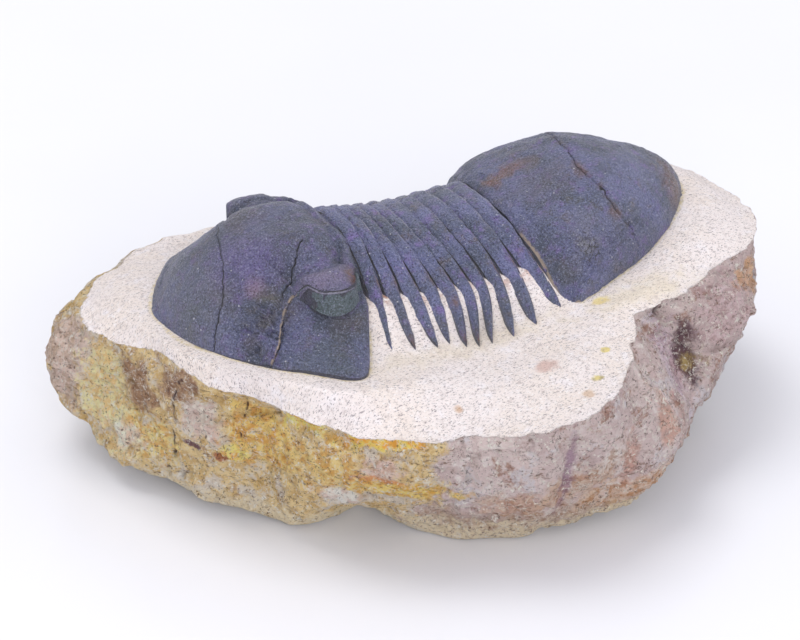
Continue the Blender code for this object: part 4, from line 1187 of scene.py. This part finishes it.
def limestone_material():
    """The stone: its top and its flank, parted along the ragged rim."""
    material, graph, shader, at = new_material("limestone")
    ragged = graph.wander(at, 0.42, 5.0, 0.62, 3.0)
    grain = graph.noise(at, 2.1, 5.0, 0.7)
    mingle = graph.cloud(at, 0.75, 5.0, 0.68, 0.42, 0.60)
    top = limestone_top(graph, at, ragged, grain, mingle)
    flank = limestone_flank(graph, at, ragged, grain, mingle)
    side = graph.band(graph.plus(graph.mask("border"), graph.wander(at, 1.3, 4.0, 0.7, 1.1)), -0.08, 0.10)
    height = graph.times(graph.noise(at, 1.3, 8.0, 0.8), graph.band(side, 0.0, 1.0, 0.4, 1.0))
    graph.finish(shader, graph.mix(side, top, flank), height, 0.0012)
    shader.inputs["Roughness"].default_value = 0.88
    shader.inputs["Specular IOR Level"].default_value = 0.3
    return material


HEAD_PATCHES = (
    ((-20.7, -1.3, 31.5), (1.2, 1.2, 1.6), 0.7, 0.75, (190, 150, 152), (168, 124, 128)),
    ((-19.6, -2.8, 30.6), (1.8, 1.1, 1.4), 0.6, 0.75, (104, 98, 56), (88, 86, 58)),
    ((-20.9, -4.9, 28.6), (1.4, 0.9, 1.6), 0.6, 0.55, (98, 88, 62), (84, 78, 58)),
    ((-13.3, -5.2, 31.9), (2.3, 1.6, 1.2), 0.6, 0.75, (152, 136, 160), (116, 98, 134)),
    ((-16.6, 9.5, 34.0), (3.0, 2.2, 1.6), 0.8, 0.4, (112, 92, 84), (98, 82, 88)),
    ((-12.4, -9.2, 27.4), (2.6, 1.6, 1.3), 0.7, 0.5, (88, 74, 72), (76, 66, 66)),
    ((-24.4, 1.5, 30.0), (1.6, 3.0, 2.4), 0.8, 0.4, (120, 98, 120), (104, 84, 104)),
    ((-23.4, -5.6, 26.2), (1.2, 1.0, 1.0), 0.6, 0.3, (118, 88, 92), (98, 74, 76)),
    ((-19.5, 2.0, 33.0), (5.0, 5.0, 2.6), 0.8, 0.5, (112, 96, 150), (92, 84, 130)),
    ((-17.5, -4.6, 28.6), (1.4, 1.4, 2.4), 0.8, 0.35, (104, 82, 76), (92, 80, 72)),
    ((-17.0, -12.2, 25.5), (4.6, 3.6, 2.6), 0.8, 0.5, (88, 104, 110), (76, 90, 98)),
    ((-26.2, 3.4, 27.5), (3.0, 5.5, 3.4), 0.8, 0.5, (98, 104, 106), (84, 90, 94)),
    ((-20.6, 2.6, 32.5), (3.4, 4.0, 2.6), 0.7, 0.5, (116, 98, 166), (96, 84, 148)),
)
TAIL_PATCHES = (
    ((17.3, 7.1, 33.0), (1.0, 1.4, 1.5), 0.6, 0.8, (150, 98, 72), (122, 82, 66)),
    ((22.4, 6.1, 34.4), (1.5, 1.2, 1.5), 0.6, 0.45, (126, 100, 86), (106, 84, 76)),
    ((26.4, 0.5, 35.0), (0.9, 1.1, 1.2), 0.6, 0.6, (136, 100, 80), (116, 82, 66)),
    ((27.8, -6.5, 31.8), (0.9, 1.1, 1.2), 0.6, 0.6, (140, 98, 72), (116, 80, 62)),
    ((40.8, 0.2, 29.8), (1.8, 4.6, 2.4), 0.8, 0.8, (142, 102, 80), (112, 84, 78)),
    ((19.4, 7.4, 33.4), (2.8, 1.2, 1.5), 0.7, 0.75, (150, 100, 74), (122, 84, 68)),
    ((22.3, -9.3, 30.1), (2.0, 1.8, 1.7), 0.5, 0.85, (52, 48, 46), (160, 158, 152)),
    ((23.2, -6.9, 31.8), (2.4, 1.6, 1.4), 0.8, 0.35, (142, 138, 146), (126, 122, 132)),
    ((18.7, -10.5, 27.6), (1.8, 1.6, 1.8), 0.7, 0.5, (96, 94, 66), (84, 84, 64)),
    ((21.5, 1.5, 34.0), (4.0, 3.0, 2.0), 0.8, 0.4, (112, 98, 90), (96, 88, 86)),
    ((25.0, -10.5, 29.5), (5.5, 3.4, 3.0), 0.8, 0.45, (112, 110, 160), (96, 94, 142)),
)


def shell_material(name, dark, light, violet, patches, tint):
    """The shell: dark slate with violet and brown mottling, rust by its cracks and rings, tiny light specks, painted
    highlights along rims, painted shade on its skirts, in creases and under rims, and a half-matt polish with a faint
    sheen."""
    material, graph, shader, at = new_material(name)
    ragged = graph.wander(at, 0.55, 4.0, 0.6, 2.4)
    mingle = graph.cloud(at, 1.3, 4.0, 0.65, 0.40, 0.62)
    colour = mottled(graph, at, 0.16, dark, light, violet)
    brown = graph.cloud(at, 0.34, 6.0, 0.7, 0.52, 0.66, 0.0, 0.6)
    colour = graph.lay(colour, brown, graph.band(mingle, 0.0, 1.0, 0.3, 1.0), tone(*tint))
    askew = graph.stretched(at, (1.0, 1.0, 1.0), (1.0, 0.4, 2.0))
    colour = graph.mix(graph.cloud(askew, 0.5, 5.0, 0.7, 0.57, 0.70, 0.0, 0.55), colour, tone(82, 78, 62))
    colour = with_patches(graph, at, mingle, ragged, colour, patches)
    # lighter violet on the lid: partly its own tone, partly painted light on its upward face
    colour = graph.lay(colour, graph.mask("lid"), 0.4, tone(130, 114, 158))
    colour = graph.lay(colour, graph.mask("drum"), 0.85, tone(92, 112, 114))
    grain = graph.noise(at, 4.2, 4.0, 0.8)
    colour = graph.mix(graph.band(grain, 0.47, 0.39, 0.0, 0.85), colour, tone(32, 31, 46))
    # the lightest flecks of the grain: partly the shell's own light grain, partly painted glints of fine highlights
    colour = graph.mix(graph.band(grain, 0.54, 0.63, 0.0, 0.7), colour, tone(176, 178, 208))
    rust = graph.times(graph.mask("rust"), graph.cloud(at, 1.6, 4.0, 0.65, 0.36, 0.56, 0.25, 1.0))
    colour = graph.lay(colour, rust, 0.8, tone(124, 84, 62))
    specks = graph.group(speckle(), {"At": at, "Per mm": 1.2, "Radius": 0.13, "Share": 0.4})
    colour = graph.lay(colour, specks, 0.85, tone(214, 214, 222))
    seam = graph.times(graph.mask("seam"), graph.cloud(at, 1.1, 3.0, 0.6, 0.34, 0.52, 0.2, 1.0))
    colour = graph.mix(graph.band(seam, 0.25, 0.75, 0.0, 0.85), colour, tone(190, 168, 146))
    # painted highlights along the lid's rim and the rings' rear lips
    edge_highlight = graph.times(graph.mask("edge_highlight"), graph.band(grain, 0.38, 0.5, 0.4, 1.0))
    colour = graph.lay(colour, edge_highlight, 0.8, tone(184, 182, 196))
    # dark cracks, together with painted shade in creases, grooves and under rims
    colour = graph.mix(graph.band(graph.mask("crack_and_shade"), 0.25, 0.75, 0.0, 0.97), colour, tone(22, 18, 22))
    # painted shade: the skirts below each plate's edge are laid with a dark colour
    colour = graph.lay(colour, graph.mask("wall"), 0.7, tone(44, 42, 56))
    crazing = {"Vector": at, "Scale": 1.9}
    crazed = graph.add("ShaderNodeTexVoronoi", crazing, feature="DISTANCE_TO_EDGE").outputs["Distance"]
    height = graph.plus(graph.noise(at, 1.2, 8.0, 0.78), graph.times(specks, 0.1))
    height = graph.plus(height, graph.band(crazed, 0.0, 0.16, 0.0, 0.12))
    graph.finish(shader, colour, height, 0.0013)
    graph.join(graph.cloud(at, 1.1, 5.0, 0.7, 0.3, 0.7, 0.26, 0.42), shader.inputs["Roughness"])
    shader.inputs["Specular IOR Level"].default_value = 0.85
    shader.inputs["Sheen Weight"].default_value = 0.12
    shader.inputs["Sheen Roughness"].default_value = 0.4
    return material


def floor_material(colour):
    """The table: pale and smooth, with a weak reflection and a faint cloudiness."""
    material, graph, shader, at = new_material("table")
    cloud = graph.cloud(at, 0.02, 2.0, 0.5, 0.3, 0.7)
    light, darker = ((*(share * value for value in colour[:3]), 1.0) for share in (1.0, 0.985))
    graph.join(graph.mix(cloud, light, darker), shader.inputs["Base Color"])
    shader.inputs["Roughness"].default_value = 0.28
    shader.inputs["Specular IOR Level"].default_value = 0.35
    return material


# ---------------------------------------------------------------- settings, operators and panel


def length_property(name, description, default):
    return FloatProperty(name=name, description=description, default=default, unit="LENGTH", subtype="DISTANCE")


def power_property(name, description, default):
    return FloatProperty(name=name, description=description, default=default, min=0.0, unit="POWER")


def colour_property(name, description, *screen):
    default = tone(*screen)
    return FloatVectorProperty(name=name, description=description, default=default, size=4, subtype="COLOR")


class StoneSettings(bpy.types.PropertyGroup):
    """What can be changed about the stone."""

    lumps: length_property("Lumps", "Height of the broad lumps on the flank", 0.0009)
    chips: length_property("Chips", "Height of the broken facets on the flank", 0.0008)
    ragged: length_property("Ragged rim", "How far the rim wanders in and out", 0.0006)
    angles: IntProperty(name="Angles", description="Points round the stone", default=620, min=60, max=640)


class ShellSettings(bpy.types.PropertyGroup):
    """What can be changed about the shell."""

    swell: length_property("Swellings", "Height of the low swellings in the shell", 0.00014)
    dark: colour_property("Dark", "Darkest colour of the shell", 62, 70, 92)
    light: colour_property("Light", "Lightest colour of the shell", 90, 94, 134)
    violet: colour_property("Violet", "Tint mingled into the shell", 104, 86, 144)


class StageSettings(bpy.types.PropertyGroup):
    """What can be changed about the table, the lights and the camera."""

    table_radius: length_property("Table", "Radius of the table", 2.5)
    table_colour: colour_property("Table colour", "Colour of the table", 223, 223, 228)
    distance: length_property("Distance", "From the camera to the fossil", 0.340)
    azimuth: FloatProperty(
        name="Azimuth", description="Camera's turn about the fossil", default=np.radians(-28), subtype="ANGLE"
    )
    elevation: FloatProperty(
        name="Elevation", description="Camera's height above the table", default=np.radians(30), subtype="ANGLE"
    )
    sky: FloatProperty(name="Sky", description="Strength of the light from all round", default=0.95, min=0.0)
    key: power_property("Key light", "Power of the main light", 2.9)
    fill: power_property("Fill light", "Power of the second light", 4.3)


def stretches(*parts):
    """Places along parts that are each (first, last, how many), without the places that two parts share."""
    rows = [np.linspace(*part) for part in parts]
    return np.concatenate([rows[0], *[row[1:] for row in rows[1:]]])


# Where the stone's skin has its rows: few where it is covered or underneath, many where it shows.
STONE_ROWS = ((0, 1, 3), (1, 2, 5), (2, 3, 31), (3, 5, 49), (5, 6, 20), (6, 9, 49), (9, 10, 3))


class TRILOBITE_OT_stone(bpy.types.Operator):
    """Makes the block of limestone"""

    bl_idname = "trilobite.stone"
    bl_label = "Limestone"

    def execute(self, context):
        settings = context.scene.trilobite_stone
        degrees = np.linspace(0, 360, settings.angles + 1)
        stations = stretches(*STONE_ROWS).round(6)
        heights = [value / MM for value in (settings.lumps, settings.chips, settings.ragged)]
        points, masks = stone_surface(stations, degrees, *heights)
        points[:, -1] = points[:, 0]
        for row in (0, -1):
            points[row] = points[row, :1]
        for mask in masks.values():
            mask[:, -1] = mask[:, 0]
        faces = grid_faces(*points.shape[:2])
        piece_from("stone", points, faces, masks, limestone_material(), "matrix")
        return {"FINISHED"}


# Looks of the shell: (name of the material, patches, screen colour of its brown, how much lighter than the settings).
HEAD_LOOK = ("head shell", HEAD_PATCHES, (104, 90, 86), 1.25)
THORAX_LOOK = ("thorax shell", (), (120, 100, 90), 1.8)
TAIL_LOOK = ("tail shell", TAIL_PATCHES, (114, 98, 94), 1.48)


def shell_look(name, patches, tint, gain):
    """The shell's material of this name, made if it isn't there yet."""
    settings = bpy.context.scene.trilobite_shell
    shades = [
        (*(min(1.0, gain * value) for value in shade[:3]), 1.0)
        for shade in (settings.dark, settings.light, settings.violet)
    ]
    return bpy.data.materials.get(name) or shell_material(name, *shades, patches, tint)


class TRILOBITE_OT_cranidium(bpy.types.Operator):
    """Makes the middle plate of the head"""

    bl_idname = "trilobite.cranidium"
    bl_label = "Cranidium"

    def execute(self, context):
        swell = context.scene.trilobite_shell.swell / MM
        look = shell_look(*HEAD_LOOK)
        plate(
            "cranidium_shell", np.linspace(0, 1, 290), np.linspace(-1, 1, 300),
            lambda back, side: cranidium_surface(back, side, swell), look, "cranidium", tuck=0.035,
        )
        return {"FINISHED"}


class TRILOBITE_OT_cheeks(bpy.types.Operator):
    """Makes the two free cheeks, each with the wall of its eye"""

    bl_idname = "trilobite.cheeks"
    bl_label = "Free cheeks"

    def execute(self, context):
        swell = context.scene.trilobite_shell.swell / MM
        look = shell_look(*HEAD_LOOK)
        rows = stretches((-1, 0, 26), (0, 0.25, 24), (0.25, 1, 64))
        for name, side in (("left", -1), ("right", 1)):
            plate(
                f"{name}_cheek_shell", rows, np.linspace(0, 1, 260),
                lambda out, back, side=side: cheek_surface(out, back, side, swell), look, f"{name}_free_cheek",
            )
        return {"FINISHED"}


class TRILOBITE_OT_thorax(bpy.types.Operator):
    """Makes the ten segments of the thorax"""

    bl_idname = "trilobite.thorax"
    bl_label = "Thoracic segments"

    def execute(self, context):
        swell = context.scene.trilobite_shell.swell / MM
        look = shell_look(*THORAX_LOOK)
        rows = stretches((-TUCKED, 0, 4), (0, 0.8, 20), (0.8, 1, 10))
        half = stretches((0, GAP_BASE_V, 100), (GAP_BASE_V, 1, 70))
        reach = np.concatenate([-half[:0:-1], half])
        for number in range(SEGMENTS):
            plate(
                f"segment_{number + 1:02d}_shell", rows, reach,
                lambda across, place, number=number: segment_surface(number, across, place, swell),
                look, f"thoracic_segment_{number + 1:02d}",
            )
        return {"FINISHED"}


class TRILOBITE_OT_tail(bpy.types.Operator):
    """Makes the tail shield"""

    bl_idname = "trilobite.tail"
    bl_label = "Tail shield"

    def execute(self, context):
        swell = context.scene.trilobite_shell.swell / MM
        look = shell_look(*TAIL_LOOK)
        plate(
            "tail_shell", np.linspace(0, 1, 220), np.linspace(-1, 1, 400),
            lambda back, reach: tail_surface(back, reach, swell), look, "pygidium",
        )
        return {"FINISHED"}


def area_light(name, place, size, power, colour):
    """A square lamp that faces the fossil."""
    data = bpy.data.lights.new(name, "AREA")
    data.energy, data.size, data.color = power, size, colour
    lamp = bpy.data.objects.new(name, data)
    lamp.location = place
    lamp.rotation_euler = (-Vector(place)).to_track_quat("-Z", "Y").to_euler()
    bpy.context.scene.collection.objects.link(lamp)
    return lamp


AIM = Vector((-0.0070, -0.0025, 0.0200))  # what the camera looks at
LENS, SENSOR_WIDTH, NEAREST = 120.0, 36.0, 0.01


class TRILOBITE_OT_stage(bpy.types.Operator):
    """Makes the table, the lights and the camera"""

    bl_idname = "trilobite.stage"
    bl_label = "Stage"

    def execute(self, context):
        scene = context.scene
        settings = scene.trilobite_stage
        reach = settings.table_radius
        mesh = bpy.data.meshes.new("table")
        corners = [(-reach, -reach, 0), (reach, -reach, 0), (reach, reach, 0), (-reach, reach, 0)]
        mesh.from_pydata(corners, [], [(0, 1, 2, 3)])
        mesh.materials.append(floor_material(settings.table_colour))
        table = bpy.data.objects.new("table", mesh)
        scene.collection.objects.link(table)
        key = area_light("key light", (-0.12, 0.25, 0.83), 0.45, settings.key, (1.0, 0.99, 0.98))
        fill = area_light("fill light", (-0.24, -0.76, 0.28), 0.5, settings.fill, (0.98, 0.98, 1.0))
        world = scene.world or bpy.data.worlds.new("soft white")
        scene.world = world
        world.use_nodes = True
        sky = world.node_tree.nodes["Background"]
        sky.inputs["Color"].default_value = tone(247, 248, 253)
        sky.inputs["Strength"].default_value = settings.sky
        camera = bpy.data.objects.new("camera", bpy.data.cameras.new("camera"))
        azimuth, elevation = settings.azimuth, settings.elevation
        level = np.cos(elevation)
        back = Vector((np.sin(azimuth) * level, -np.cos(azimuth) * level, np.sin(elevation)))
        camera.location = AIM + back * settings.distance
        camera.rotation_euler = (-back).to_track_quat("-Z", "Y").to_euler()
        camera.data.lens, camera.data.sensor_width, camera.data.clip_start = LENS, SENSOR_WIDTH, NEAREST
        scene.collection.objects.link(camera)
        scene.camera = camera
        scene.view_settings.view_transform = "Standard"
        return {"FINISHED"}


class TRILOBITE_PT_panel(bpy.types.Panel):
    """Lists what can be made"""

    bl_idname = "TRILOBITE_PT_panel"
    bl_label = "Trilobite"
    bl_space_type = "VIEW_3D"
    bl_region_type = "UI"
    bl_category = "Trilobite"

    def draw(self, context):
        scene = context.scene
        for settings in (scene.trilobite_stone, scene.trilobite_shell, scene.trilobite_stage):
            for name in settings.bl_rna.properties.keys():
                if name not in ("rna_type", "name"):
                    self.layout.prop(settings, name)
        for maker in MAKERS:
            self.layout.operator(maker.bl_idname)


MAKERS = (
    TRILOBITE_OT_stone, TRILOBITE_OT_cranidium, TRILOBITE_OT_cheeks, TRILOBITE_OT_thorax, TRILOBITE_OT_tail,
    TRILOBITE_OT_stage,
)
CLASSES = (StoneSettings, ShellSettings, StageSettings, *MAKERS, TRILOBITE_PT_panel)


def register():
    for made in CLASSES:
        bpy.utils.register_class(made)
    bpy.types.Scene.trilobite_stone = PointerProperty(type=StoneSettings)
    bpy.types.Scene.trilobite_shell = PointerProperty(type=ShellSettings)
    bpy.types.Scene.trilobite_stage = PointerProperty(type=StageSettings)


def unregister():
    for name in ("trilobite_stone", "trilobite_shell", "trilobite_stage"):
        delattr(bpy.types.Scene, name)
    for made in reversed(CLASSES):
        bpy.utils.unregister_class(made)


def main():
    register()
    bpy.ops.trilobite.stone()
    bpy.ops.trilobite.cranidium()
    bpy.ops.trilobite.cheeks()
    bpy.ops.trilobite.thorax()
    bpy.ops.trilobite.tail()
    bpy.ops.trilobite.stage()
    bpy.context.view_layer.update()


if __name__ == "__main__":
    main()
